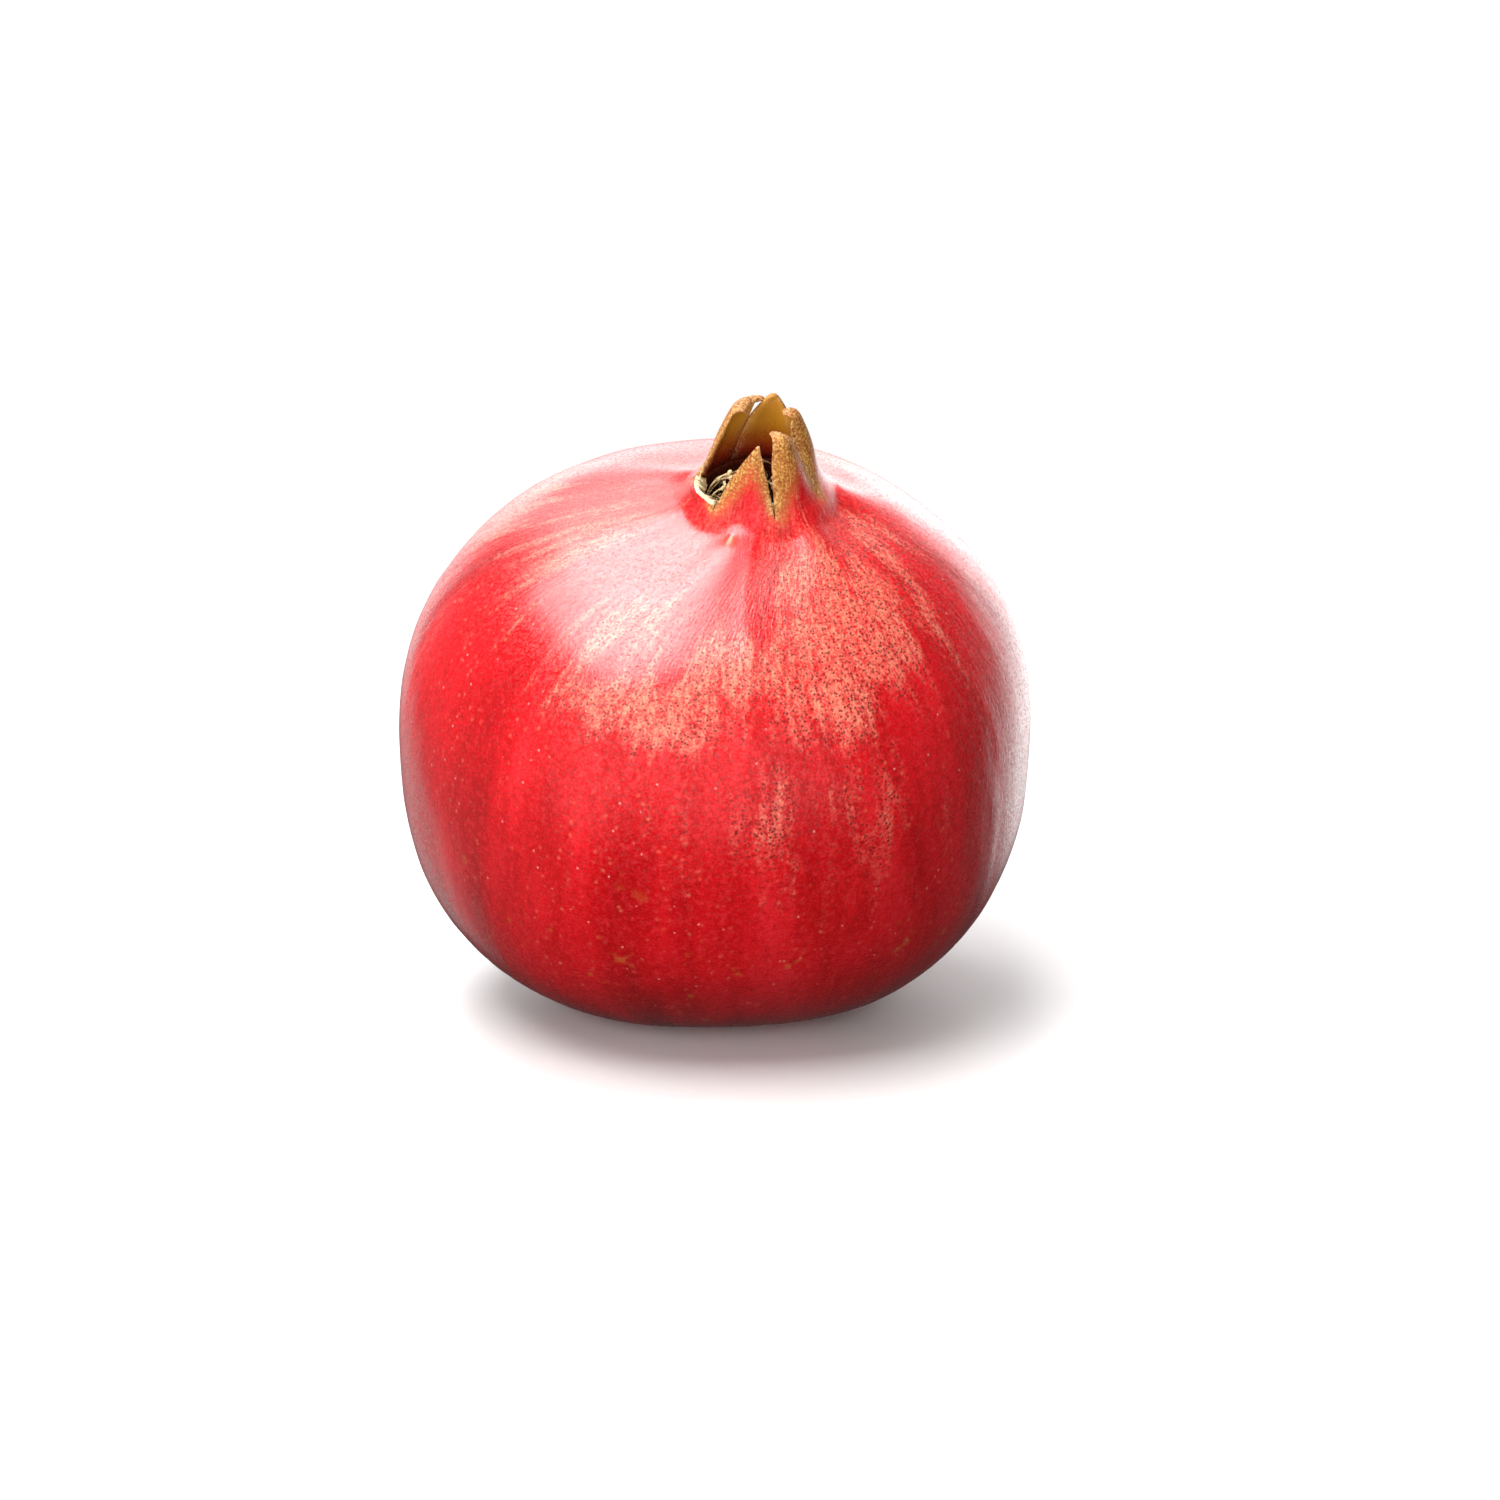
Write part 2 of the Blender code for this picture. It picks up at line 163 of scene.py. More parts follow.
def column_places():
    """Azimuth of each column of the mesh, and how high the ridges below the keels are there."""
    places = []
    for number, sepal in enumerate(SEPALS):
        for step in range(COLUMNS_PER_SEPAL):
            share = step / COLUMNS_PER_SEPAL
            azimuth = math.radians(sepal.start + (sepal.end - sepal.start) * share)
            keel = math.cos(math.pi * (share - 0.5)) ** 4
            valley = (SEPALS[number - 1].ridge * max(0.0, 0.5 - share)
                      + SEPALS[(number + 1) % len(SEPALS)].ridge * max(0.0, share - 0.5)
                      + sepal.ridge * (1.0 - abs(share - 0.5)))
            places.append((azimuth, sepal.ridge * keel - valley / 3.0))
    return places


def facets(azimuth, across):
    three = -THREE_SIDEDNESS * math.cos(3.0 * (azimuth - THREE_SIDED_TURN)) * across
    six = FACET_DEPTH * math.cos(6.0 * (azimuth - FACET_TURN)) * math.sqrt(across)
    return 1.0 + three + six


def underside_point(across, azimuth):
    exponent = UNDERSIDE_SQUARENESS + UNDERSIDE_SIDE_FULLNESS * math.cos(2.0 * azimuth)
    along = superellipse(across, exponent)
    radius = EQUATOR_RADIUS * across * facets(azimuth, across)
    from_floor = max(0.0, EQUATOR_RADIUS * across - DIMPLE_FLOOR_RADIUS) / DIMPLE_SLOPE_WIDTH
    dimple = max(0.0, 1.0 - from_floor ** 2) ** 2
    return Vector((
        radius * math.cos(azimuth),
        radius * math.sin(azimuth) + STALK_END_SHIFT * along ** 2,
        DIMPLE_DEPTH * dimple - UNDERSIDE_DEPTH * along,
    ))


def shoulder_point(across, azimuth, ridge):
    along = superellipse(across, SHOULDER_SQUARENESS)
    radius = EQUATOR_RADIUS * across * facets(azimuth, across)
    from_neck = EQUATOR_RADIUS * across - NECK_RADIUS
    flare = NECK_RISE * math.exp(-from_neck / NECK_SPREAD)
    flare += ridge * math.exp(-from_neck / RIDGE_LENGTH)
    crease = CREASE_AZIMUTH + CREASE_TURN * min(1.0, max(0.0, from_neck / CREASE_REACH))
    from_crease = abs(azimuth - crease) * radius
    flare += CREASE_HEIGHT * math.exp(-from_crease / CREASE_WIDTH - from_neck / CREASE_LENGTH)
    point = Vector((
        radius * math.cos(azimuth) + CROWN_SHIFT * along ** CROWN_SHIFT_SHARPNESS,
        radius * math.sin(azimuth),
        SHOULDER_HEIGHT * along + flare,
    ))
    from_wart = (point.xy - WART_PLACE).length / WART_RADIUS
    point.z += WART_HEIGHT * math.exp(-from_wart ** 2)
    return point


def crown_base():
    """Centre of the ring that the sepals rise from."""
    along = superellipse(NECK_RADIUS / EQUATOR_RADIUS, SHOULDER_SQUARENESS)
    height = SHOULDER_HEIGHT * along + NECK_RISE + RING_RISE
    return Vector((CROWN_SHIFT * along ** CROWN_SHIFT_SHARPNESS, 0.0, height))


def sepal_rows(sepal):
    """Radius, height and tilt of a sepal's outer face, row by row up to its hooked tip."""
    radius, height, rows = RING_RADIUS, 0.0, []
    stride = sepal.length / SEPAL_ROWS
    for step in range(SEPAL_ROWS + 1):
        up = step / SEPAL_ROWS
        over = max(0.0, (up - sepal.hook_start) / (1.0 - sepal.hook_start))
        tilt = math.atan((1.0 + LEAN_EASE) * sepal.lean * up ** LEAN_EASE / sepal.length)
        tilt += FOOT_FLARE * math.exp(-height / FOOT_SPREAD)
        tilt += sepal.hook * over * over * (3.0 - 2.0 * over)
        rows.append((up, radius, height, tilt))
        radius -= stride * math.sin(tilt)
        height += stride * math.cos(tilt)
    return rows


def sepal_point(sepal, row, across):
    """A point of a sepal's outer face, across from -1 to 1."""
    up, radius, height, tilt = row
    middle = math.radians((sepal.start + sepal.end) / 2.0)
    half = math.radians((sepal.end - sepal.start) / 2.0)
    narrowing = NOTCH_WIDTH * math.sqrt(up) + (1.0 - NOTCH_WIDTH) * up ** sepal.fullness
    width = 1.0 - (1.0 - sepal.tip) * narrowing
    azimuth = middle + across * half * width
    waving = noise.noise(Vector((5.0 * up, 2.0 * math.copysign(1.0, across), sepal.start)))
    outwards = KEEL_HEIGHT * math.cos(math.pi / 2.0 * across) ** 2 * math.sin(math.pi * up)
    outwards += sepal.wave * abs(across) ** 3 * min(1.0, 3.0 * up) * waving
    fold = sepal.fold * min(1.0, width) * max(0.2, radius / RING_RADIUS)
    outwards -= fold * across ** 2 * min(1.0, 1.6 * up) ** 2
    ragged = noise.noise(Vector((3.0 * across, 0.2, 2.0))) + 0.4 * noise.noise(
        Vector((11.0 * across, 0.2, 5.0)))
    height *= 1.0 + 1.6 * sepal.torn * ragged
    place = radius + outwards * math.cos(tilt)
    pull = sepal.pull * up ** 2
    return crown_base() + Vector((
        place * math.cos(azimuth) - pull * math.sin(middle),
        place * math.sin(azimuth) + pull * math.cos(middle),
        height + outwards * math.sin(tilt),
    ))


def sepal_sheets(sepal):
    """The points of a sepal's outer face and, a wall's thickness under it, of its inner face."""
    places = [2.0 * k / COLUMNS_PER_SEPAL - 1.0 for k in range(COLUMNS_PER_SEPAL + 1)]
    rows = sepal_rows(sepal)
    outer = [[sepal_point(sepal, row, a) for a in places] for row in rows]
    inner = []
    for step, (up, *_) in enumerate(rows):
        below, above = outer[max(0, step - 1)], outer[min(SEPAL_ROWS, step + 1)]
        wall = RING_WALL + (TIP_THICKNESS - RING_WALL) * math.sqrt(up)
        if sepal.torn:
            wall = TORN_WALL
        line = []
        for k, across in enumerate(places):
            after, before = min(COLUMNS_PER_SEPAL, k + 1), max(0, k - 1)
            around = outer[step][after] - outer[step][before]
            facing = around.cross(above[k] - below[k]).normalized()
            thin = 1.0 - 0.5 * abs(across) ** 6 * min(1.0, 8.0 * up)
            line.append(outer[step][k] - facing * wall * thin)
        inner.append(line)
    return places, rows, outer, inner


def cup_radius(depth_share):
    shrink = max(0.0, 1.0 - depth_share ** CUP_SQUARENESS) ** (1.0 / CUP_SQUARENESS)
    return (RING_RADIUS - RING_WALL) * shrink


def round_points(centre, radius, azimuths):
    return [centre + radius * Vector((math.cos(a), math.sin(a), 0.0)) for a in azimuths]


def add_row(mesh, points, **marks):
    """Adds a row of vertices, with their marks for the material."""
    row = [mesh.verts.new(point) for point in points]
    for name, value in marks.items():
        layer = mesh.verts.layers.float[name]
        for index, vertex in enumerate(row):
            vertex[layer] = value[index] if isinstance(value, list) else value
    return row


def join_rows(mesh, lower, upper, closed=True):
    """Faces between two rows of vertices that run anticlockwise as seen from above."""
    count = len(lower)
    for index in range(count if closed else count - 1):
        after = (index + 1) % count
        mesh.faces.new((lower[index], lower[after], upper[after], upper[index]))


def add_sepal(mesh, sepal, outer_base, inner_base):
    """One sepal on its stretch of the ring, closed over its edge and tip."""
    outer, inner = [outer_base], [inner_base]
    places, rows, outer_points, inner_points = sepal_sheets(sepal)
    for step in range(1, SEPAL_ROWS + 1):
        up = rows[step][0]
        rim = [max(abs(a) ** 7, up ** 9) * min(1.0, 5.0 * up) for a in places]
        torn = 1.0 if sepal.torn and up > 0.7 else 0.0
        outer.append(add_row(mesh, outer_points[step], margin=rim, torn=torn))
        inner.append(add_row(mesh, inner_points[step], inner=1.0, margin=rim, torn=torn))
    for step in range(SEPAL_ROWS):
        join_rows(mesh, outer[step], outer[step + 1], closed=False)
        join_rows(mesh, inner[step + 1], inner[step], closed=False)
        for edge, flip in ((0, False), (-1, True)):
            strip = (outer[step][edge], outer[step + 1][edge],
                     inner[step + 1][edge], inner[step][edge])
            mesh.faces.new(reversed(strip) if flip else strip)
    join_rows(mesh, outer[-1], inner[-1], closed=False)


def mark_rind(mesh):
    """Marks every vertex with its place along the grain, over the ring and across its sepal."""
    grain = mesh.verts.layers.float_vector["grain"]
    rise, keel, blush, wart = (
        mesh.verts.layers.float[name] for name in ("rise", "keel", "blush", "wart"))
    base = crown_base()
    top_turn = math.atan2(base.z, RING_RADIUS)
    for vertex in mesh.verts:
        x, y, z = vertex.co
        if z > 0.0:
            from_wart = (vertex.co.xy - WART_PLACE).length / WART_RADIUS
            vertex[wart] = math.exp(-from_wart ** 2)
        x -= CROWN_SHIFT * min(1.0, max(0.0, z / SHOULDER_HEIGHT)) ** CROWN_SHIFT_SHARPNESS
        azimuth = math.atan2(y, x)
        elevation = min(math.atan2(z, math.hypot(x, y)), top_turn)
        along = EQUATOR_RADIUS * elevation + max(0.0, z - base.z)
        vertex[grain] = (
            EQUATOR_RADIUS * math.cos(azimuth), EQUATOR_RADIUS * math.sin(azimuth), along)
        vertex[rise] = z - base.z
        turn = (math.degrees(azimuth) - SEPALS[0].start) % 360.0 + SEPALS[0].start
        sepal = next(s for s in SEPALS if turn <= s.end + 0.001)
        vertex[keel] = 1.0 - abs(2.0 * (turn - sepal.start) / (sepal.end - sepal.start) - 1.0)
        for place, height, spread, rise_spread, strength in BLUSHES:
            around = ((turn - place + 180.0) % 360.0 - 180.0) / spread
            above = (math.degrees(elevation) - height) / rise_spread
            vertex[blush] = max(vertex[blush], strength * math.exp(-around ** 2 - above ** 2))


def fruit_mesh():
    """The rind from the stalk end up, out over the crown, and down to the floor of its cup."""
    mesh = bmesh.new()
    mesh.verts.layers.float_vector.new("grain")
    for name in MARKS:
        mesh.verts.layers.float.new(name)
    places = column_places()
    stalk_pole = mesh.verts.new(underside_point(0.0, 0.0))
    rows = []
    for across in reversed(ring_shares(DIMPLE_FLOOR_RADIUS, UNDERSIDE_RINGS)[1:]):
        rows.append(add_row(mesh, [underside_point(across, a) for a, _ in places]))
    for across in ring_shares(NECK_EDGE, SHOULDER_RINGS):
        rows.append(add_row(mesh, [shoulder_point(across, a, ridge) for a, ridge in places]))
    azimuths = [azimuth for azimuth, _ in places]
    neck = [vertex.co.copy() for vertex in rows[-1]]
    ring = round_points(crown_base(), RING_RADIUS, azimuths)
    for step in range(1, RING_STEPS + 1):
        share = step / RING_STEPS
        sag = Vector((0.0, 0.0, -RING_SAG * math.sin(math.pi * share)))
        rows.append(add_row(mesh, [low.lerp(high, share) + sag for low, high in zip(neck, ring)]))
    for lower, upper in zip(rows, rows[1:]):
        join_rows(mesh, lower, upper)
    for index, vertex in enumerate(rows[0]):
        mesh.faces.new((stalk_pole, rows[0][(index + 1) % len(places)], vertex))

    cup_rows = []
    for step in range(CUP_STEPS):
        share = math.sin(math.pi / 2.0 * step / CUP_STEPS)
        centre = crown_base() - Vector((0.0, 0.0, CUP_DEPTH * share))
        points = round_points(centre, cup_radius(share), azimuths)
        cup_rows.append(add_row(mesh, points, inner=1.0))
    for upper, lower in zip(cup_rows, cup_rows[1:]):
        join_rows(mesh, upper, lower)
    cup_pole = add_row(mesh, [crown_base() - Vector((0.0, 0.0, CUP_DEPTH))], inner=1.0)[0]
    for index, vertex in enumerate(cup_rows[-1]):
        mesh.faces.new((cup_pole, vertex, cup_rows[-1][(index + 1) % len(places)]))

    outer_ring, inner_ring = rows[-1], cup_rows[0]
    for number, sepal in enumerate(SEPALS):
        first = number * COLUMNS_PER_SEPAL
        stretch = [(first + k) % len(places) for k in range(COLUMNS_PER_SEPAL + 1)]
        add_sepal(mesh, sepal, [outer_ring[k] for k in stretch], [inner_ring[k] for k in stretch])
    mark_rind(mesh)
    bmesh.ops.recalc_face_normals(mesh, faces=mesh.faces)
    return mesh


def lying_place(mesh):
    """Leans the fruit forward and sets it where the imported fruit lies."""
    turned = Matrix.Rotation(LEAN, 4, "X")
    points = [turned @ vertex.co for vertex in mesh.verts]
    low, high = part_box("fruit")
    shift = [(low[k] + high[k] - min(p[k] for p in points) - max(p[k] for p in points)) / 2.0
             for k in range(2)]
    lowest = min(point.z for point in points)
    return Matrix.Translation((*shift, low[2] - SEAT_PRESS - lowest)) @ turned


def press_seat(mesh):
    """Flattens the underside where it rests, with a soft edge round the flat spot."""
    for vertex in mesh.verts:
        height = vertex.co.z
        if height <= -SEAT_BLEND:
            vertex.co.z = 0.0
        elif height < SEAT_BLEND:
            vertex.co.z = (height + SEAT_BLEND) ** 2 / (4.0 * SEAT_BLEND)


def node(tree, kind, inputs=None, output=None, ramp=None, **settings):
    """Adds a node with its settings, values and links, and gives back the output asked for."""
    made = tree.nodes.new(kind)
    for name, value in settings.items():
        setattr(made, name, value)
    for name, value in (inputs or {}).items():
        if isinstance(name, str):
            socket = next(s for s in made.inputs if s.name == name and s.enabled)
        else:
            socket = made.inputs[name]
        if isinstance(value, bpy.types.NodeSocket):
            tree.links.new(value, socket)
        else:
            socket.default_value = value
    if ramp:
        stops = made.color_ramp.elements
        while len(stops) < len(ramp):
            stops.new(0.5)
        for stop, (position, tint) in zip(stops, ramp):
            stop.position, stop.color = position, tint
    if output:
        return made.outputs[output]
    return next((s for s in made.outputs if s.enabled), None)


def colour(text):
    """Linear colour of an sRGB hex value."""
    parts = [int(text[k:k + 2], 16) / 255.0 for k in (1, 3, 5)]
    linear = [p / 12.92 if p <= 0.04045 else ((p + 0.055) / 1.055) ** 2.4 for p in parts]
    return (*linear, 1.0)


def blank_material(name):
    made = bpy.data.materials.new(name)
    made.use_nodes = True
    made.node_tree.nodes.clear()
    return made


def shape_tree(name, sizes):
    """A geometry nodes tree with a geometry and a material input, and named sizes."""
    tree = bpy.data.node_groups.new(name, "GeometryNodeTree")
    tree.interface.new_socket("Geometry", in_out="INPUT", socket_type="NodeSocketGeometry")
    for size in sizes:
        kind = "NodeSocketInt" if isinstance(sizes[size], int) else "NodeSocketFloat"
        tree.interface.new_socket(size, in_out="INPUT", socket_type=kind)
    tree.interface.new_socket("Material", in_out="INPUT", socket_type="NodeSocketMaterial")
    tree.interface.new_socket("Geometry", in_out="OUTPUT", socket_type="NodeSocketGeometry")
    return tree, tree.nodes.new("NodeGroupInput").outputs


def end_tree(tree, geometry, given):
    """Ends a tree in Realize Instances and Set Material."""
    real = node(tree, "GeometryNodeRealizeInstances", {"Geometry": geometry})
    dressed = node(tree, "GeometryNodeSetMaterial", {
        "Geometry": real, "Material": given["Material"]})
    tree.links.new(dressed, tree.nodes.new("NodeGroupOutput").inputs["Geometry"])


def shaped(name, data, tree, values):
    """Runs a tree on a mesh and keeps what it makes as a plain mesh object."""
    raw = bpy.data.objects.new(name + "_raw", data)
    bpy.context.collection.objects.link(raw)
    modifier = raw.modifiers.new("shape", "NODES")
    modifier.node_group = tree
    for item in tree.interface.items_tree:
        if item.in_out == "INPUT" and item.name in values:
            modifier[item.identifier] = values[item.name]
    raw.update_tag()
    whole = raw.evaluated_get(bpy.context.evaluated_depsgraph_get())
    plain = bpy.data.meshes.new_from_object(whole)
    bpy.data.objects.remove(raw)
    plain.name = name
    plain.shade_smooth()
    piece = bpy.data.objects.new(name, plain)
    bpy.context.collection.objects.link(piece)
    return piece


# Pomegranate rind, grown: a tough skin full of fine pores under natural wax. The eye gets a
# saturated red with streaky salmon patches, dark pores and pale pinpoints, a broad soft gloss
# that the fine wrinkles break up, and a dry corky crown, amber and shiny inside its sepals.
rind = blank_material("waxed_pomegranate_rind")
tree = rind.node_tree
object_place = node(tree, "ShaderNodeTexCoord", output="Object")
along_grain = node(tree, "ShaderNodeAttribute", output="Vector", attribute_name="grain")
streaky, dashes, fibrous = (
    node(tree, "ShaderNodeMapping", {"Vector": along_grain, "Scale": scale})
    for scale in ((1.0, 1.0, 0.22), (0.8, 0.8, 0.5), (0.3, 0.3, 0.12)))
grown = {name: node(tree, "ShaderNodeAttribute", output="Fac", attribute_name=name)
         for name in MARKS}

# Each noise: the coordinates that it follows, the size of its marks in metres, and its detail
for name, place, size, detail in (
        ("tone", streaky, 11.0 * MM, 3.0),
        ("patch", streaky, 5.0 * MM, 4.0),
        ("mottle", along_grain, 1.1 * MM, 3.0),
        ("streak", streaky, 1.3 * MM, 2.0),
        ("speck", object_place, 0.36 * MM, 2.0),
        ("grit", object_place, 0.4 * MM, 2.0),
        ("cloud", object_place, 16.0 * MM, 2.0),
        ("blotch", object_place, 4.5 * MM, 2.0),
        ("wrinkle", streaky, 0.9 * MM, 3.0),
        ("peel", dashes, 0.5 * MM, 2.0),
        ("fibre", fibrous, 0.35 * MM, 3.0),
        ("cork", object_place, 0.38 * MM, 3.0)):
    grown[name] = node(tree, "ShaderNodeTexNoise",
                       {"Vector": place, "Scale": 1.0 / size, "Detail": detail, "Roughness": 0.6})

# Dots: how far apart they are and how wide. Real pores are half as wide, drawn coarser to show.
for name, apart, radius in (("pore", 0.60 * MM, 0.19 * MM), ("pinpoint", 2.6 * MM, 0.17 * MM),
                            ("freckle", 1.7 * MM, 0.30 * MM)):
    distance = node(tree, "ShaderNodeTexVoronoi", {"Vector": object_place, "Scale": 1.0 / apart})
    grown[name] = node(tree, "ShaderNodeMapRange", {
        "Value": distance, "From Min": 0.6 * radius / apart, "From Max": 1.4 * radius / apart,
        "To Min": 1.0, "To Max": 0.0})

# Each step names a value made from others. A mask climbs from its start to its end, up to a
# strength; the rest is plain arithmetic.
for name, how, *parts in (
        # How sunned the skin is: the blushes with streaky edges, and a faint ring by the crown
        ("sunned", "MULTIPLY_ADD", "patch", 1.7, "blush"),
        ("sunned", "MULTIPLY_ADD", "cloud", 0.25, "sunned"),
        ("sunned", "mask", "sunned", 1.07, 1.59, 1.0),
        ("by_crown", "mask", "rise", -14 * MM, -3 * MM, 1.0),
        ("off_keel", "mask", "keel", 1.4, 0.2, 0.5),
        ("by_crown", "MULTIPLY", "by_crown", "off_keel"),
        ("sunned", "MAXIMUM", "sunned", "by_crown"),
        # The sunned skin breaks into salmon grains, and into peach ones where they are densest
        ("grains", "MULTIPLY_ADD", "speck", 1.3, "mottle"),
        ("grains", "MULTIPLY_ADD", "streak", 0.7, "grains"),
        ("grains", "MULTIPLY_ADD", "sunned", 0.36, "grains"),
        ("salmon", "mask", "grains", 1.42, 1.92, 0.76),
        ("salmon", "MULTIPLY", "salmon", "sunned"),
        ("peach", "mask", "grains", 1.74, 2.2, 0.65),
        ("peach", "MULTIPLY", "peach", "sunned"),
        # The red between: paler and darker grains, dark streaks and ochre blotches lower down
        ("pale_mottle", "mask", "mottle", 0.5, 0.72, 0.35),
        ("dark_mottle", "mask", "mottle", 0.48, 0.28, 0.45),
        ("pale_grit", "mask", "grit", 0.52, 0.72, 0.35),
        ("dark_grit", "mask", "grit", 0.48, 0.30, 0.4),
        ("dark_streak", "mask", "streak", 0.58, 0.8, 0.35),
        ("off_crown", "mask", "rise", -4 * MM, -16 * MM, 1.0),
        ("dark_streak", "MULTIPLY", "dark_streak", "off_crown"),
        ("ochre", "mask", "blotch", 0.66, 0.74, 0.25),
        ("low_down", "mask", "rise", -30 * MM, -60 * MM, 1.0),
        ("ochre", "MULTIPLY", "ochre", "low_down"),
        # Pores on the shoulder and in sunned skin, freckles in patches, pinpoints in deep red
        ("on_shoulder", "mask", "rise", -60 * MM, -30 * MM, 0.4),
        ("pores", "mask", "sunned", 0.02, 0.6, 0.5),
        ("pores", "ADD", "pores", "on_shoulder"),
        ("on_body", "mask", "rise", -1.5 * MM, -4 * MM, 1.0),
        ("pore", "MULTIPLY", "pore", "on_body"),
        ("pores", "MULTIPLY", "pore", "pores"),
        ("freckles", "mask", "patch", 0.42, 0.6, 0.5),
        ("freckles", "MULTIPLY", "freckle", "freckles"),
        ("pinpoints", "mask", "sunned", 0.5, 0.0, 0.65),
        ("pinpoints", "MULTIPLY", "pinpoint", "pinpoints"),
        # The crown dries from its margins and tips towards its keels, and turns orange first
        ("dryness", "MULTIPLY_ADD", "rise", 0.16 / MM, "margin"),
        ("dryness", "MULTIPLY_ADD", "keel", -1.05, "dryness"),
        ("dryness", "MULTIPLY_ADD", "cork", 0.9, "dryness"),
        ("dry", "mask", "dryness", 0.27, 1.17, 1.0),
        ("turning", "mask", "dryness", 0.02, 0.62, 1.0),
        ("on_sepals", "mask", "rise", -3 * MM, 1 * MM, 0.7),
        ("turning", "MULTIPLY", "turning", "on_sepals"),
        ("corky", "MULTIPLY", "cork", 0.7),
        ("corky", "MULTIPLY_ADD", "fibre", 0.3, "corky"),
        # How deep into the cup a place lies, which sets the inside colours and the painted shade
        # on the cup's floor
        ("height_inside", "mask", "rise", -9 * MM, 13 * MM, 1.0),
        ("veins", "mask", "fibre", 0.5, 0.8, 0.2),
        ("inner", "mask", "inner", 0.4, 0.9, 1.0),
        ("scuffed", "mask", "cork", 0.4, 0.7, 1.0),
        ("margins", "MULTIPLY", "margin", "scuffed"),
        # Roughness: satin wax, rougher in the pores and grains, and matt where it is dry
        ("roughness", "mask", "mottle", 0.3, 0.8, 0.1),
        ("dry_roughness", "MULTIPLY", "dry", 0.5),
        ("roughness", "MAXIMUM", "roughness", "dry_roughness"),
        ("roughness", "MULTIPLY_ADD", "pore", 0.28, "roughness"),
        ("rough_grit", "mask", "grit", 0.35, 0.65, 0.16),
        ("roughness", "ADD", "roughness", "rough_grit"),
        ("roughness", "ADD", "roughness", 0.13),
        ("coat", "mask", "dry", 0.6, 0.0, 1.0),
        ("coat", "MAXIMUM", "coat", "inner"),
        ("coat", "MULTIPLY", "coat", 0.3),
        # Relief too fine for the mesh: wrinkles along the grain, orange peel, and the dry crown's
        # corky pits and fibres
        ("wrinkled", "mask", "rise", -75 * MM, -20 * MM, 0.8),
        ("below_neck", "mask", "rise", -1.5 * MM, -6 * MM, 1.0),
        ("wrinkled", "MULTIPLY", "wrinkled", "below_neck"),
        ("height", "MULTIPLY", "wrinkle", "wrinkled"),
        ("height", "MULTIPLY_ADD", "peel", 0.7, "height"),
        ("height", "MULTIPLY_ADD", "fibre", "dry", "height"),
        ("height", "MULTIPLY_ADD", "pore", -0.12, "height"),
        ("pitted", "SUBTRACT", "dry", "inner"),
        ("pitted", "mask", "pitted", 0.0, 1.0, 1.6),
        ("height", "MULTIPLY_ADD", "cork", "pitted", "height")):
    parts = [grown.get(part, part) for part in parts]
    if how == "mask":
        values = dict(zip(("Value", "From Min", "From Max", "To Max"), parts))
        grown[name] = node(tree, "ShaderNodeMapRange", values, interpolation_type="SMOOTHSTEP")
    else:
        grown[name] = node(tree, "ShaderNodeMath", dict(enumerate(parts)), operation=how)

cork = node(tree, "ShaderNodeValToRGB", {"Fac": grown["corky"]}, ramp=(
    (0.37, colour("#74381A")), (0.46, colour("#98581F")), (0.54, colour("#AE7830")),
    (0.63, colour("#CFA65E"))))
# Inside the sepals: amber near the tips and deep red-brown towards the cup, their own colour,
# then painted shade that darkens to near black on the cup's floor
inside = node(tree, "ShaderNodeValToRGB", {"Fac": grown["height_inside"]}, ramp=(
    (0.0, colour("#2A1209")), (0.34, colour("#4E140A")), (0.50, colour("#8A200A")),
    (0.66, colour("#A04E0C")), (0.85, colour("#BE801C"))))
inside = node(tree, "ShaderNodeMix", {
    "Factor": grown["veins"], "A": inside, "B": colour("#8A4A12")}, data_type="RGBA")
skin = node(tree, "ShaderNodeValToRGB", {"Fac": grown["tone"]}, ramp=(
    (0.32, colour("#A2060C")), (0.46, colour("#BC0910")), (0.56, colour("#CC1119")),
    (0.68, colour("#D81E26"))))
for layer, tint in (
        ("pale_mottle", colour("#DA343C")), ("dark_mottle", colour("#960509")),
        ("pale_grit", colour("#DA3038")), ("dark_grit", colour("#98060C")),
        ("dark_streak", colour("#9C0A12")), ("ochre", colour("#B98A3A")),
        ("salmon", colour("#D65A50")), ("peach", colour("#DE9070")),
        ("freckles", colour("#DC6A50")), ("pores", colour("#600C05")),
        ("pinpoints", colour("#F0A49C")), ("wart", colour("#C85A34")),
        ("turning", colour("#B4552A")), ("dry", cork), ("inner", inside),
        ("margins", colour("#C8A070")), ("torn", colour("#E2CDA4"))):
    skin = node(tree, "ShaderNodeMix", {"Factor": grown[layer], "A": skin, "B": tint},
                data_type="RGBA")

bump = node(tree, "ShaderNodeBump", {
    "Height": grown["height"], "Strength": 0.5, "Distance": 0.16 * MM})
shader = node(tree, "ShaderNodeBsdfPrincipled", {
    "Base Color": skin, "Roughness": grown["roughness"], "Normal": bump, "IOR": 1.5,
    "Coat Weight": grown["coat"], "Coat Roughness": 0.2, "Coat IOR": 1.45})
node(tree, "ShaderNodeOutputMaterial", {"Surface": shader})

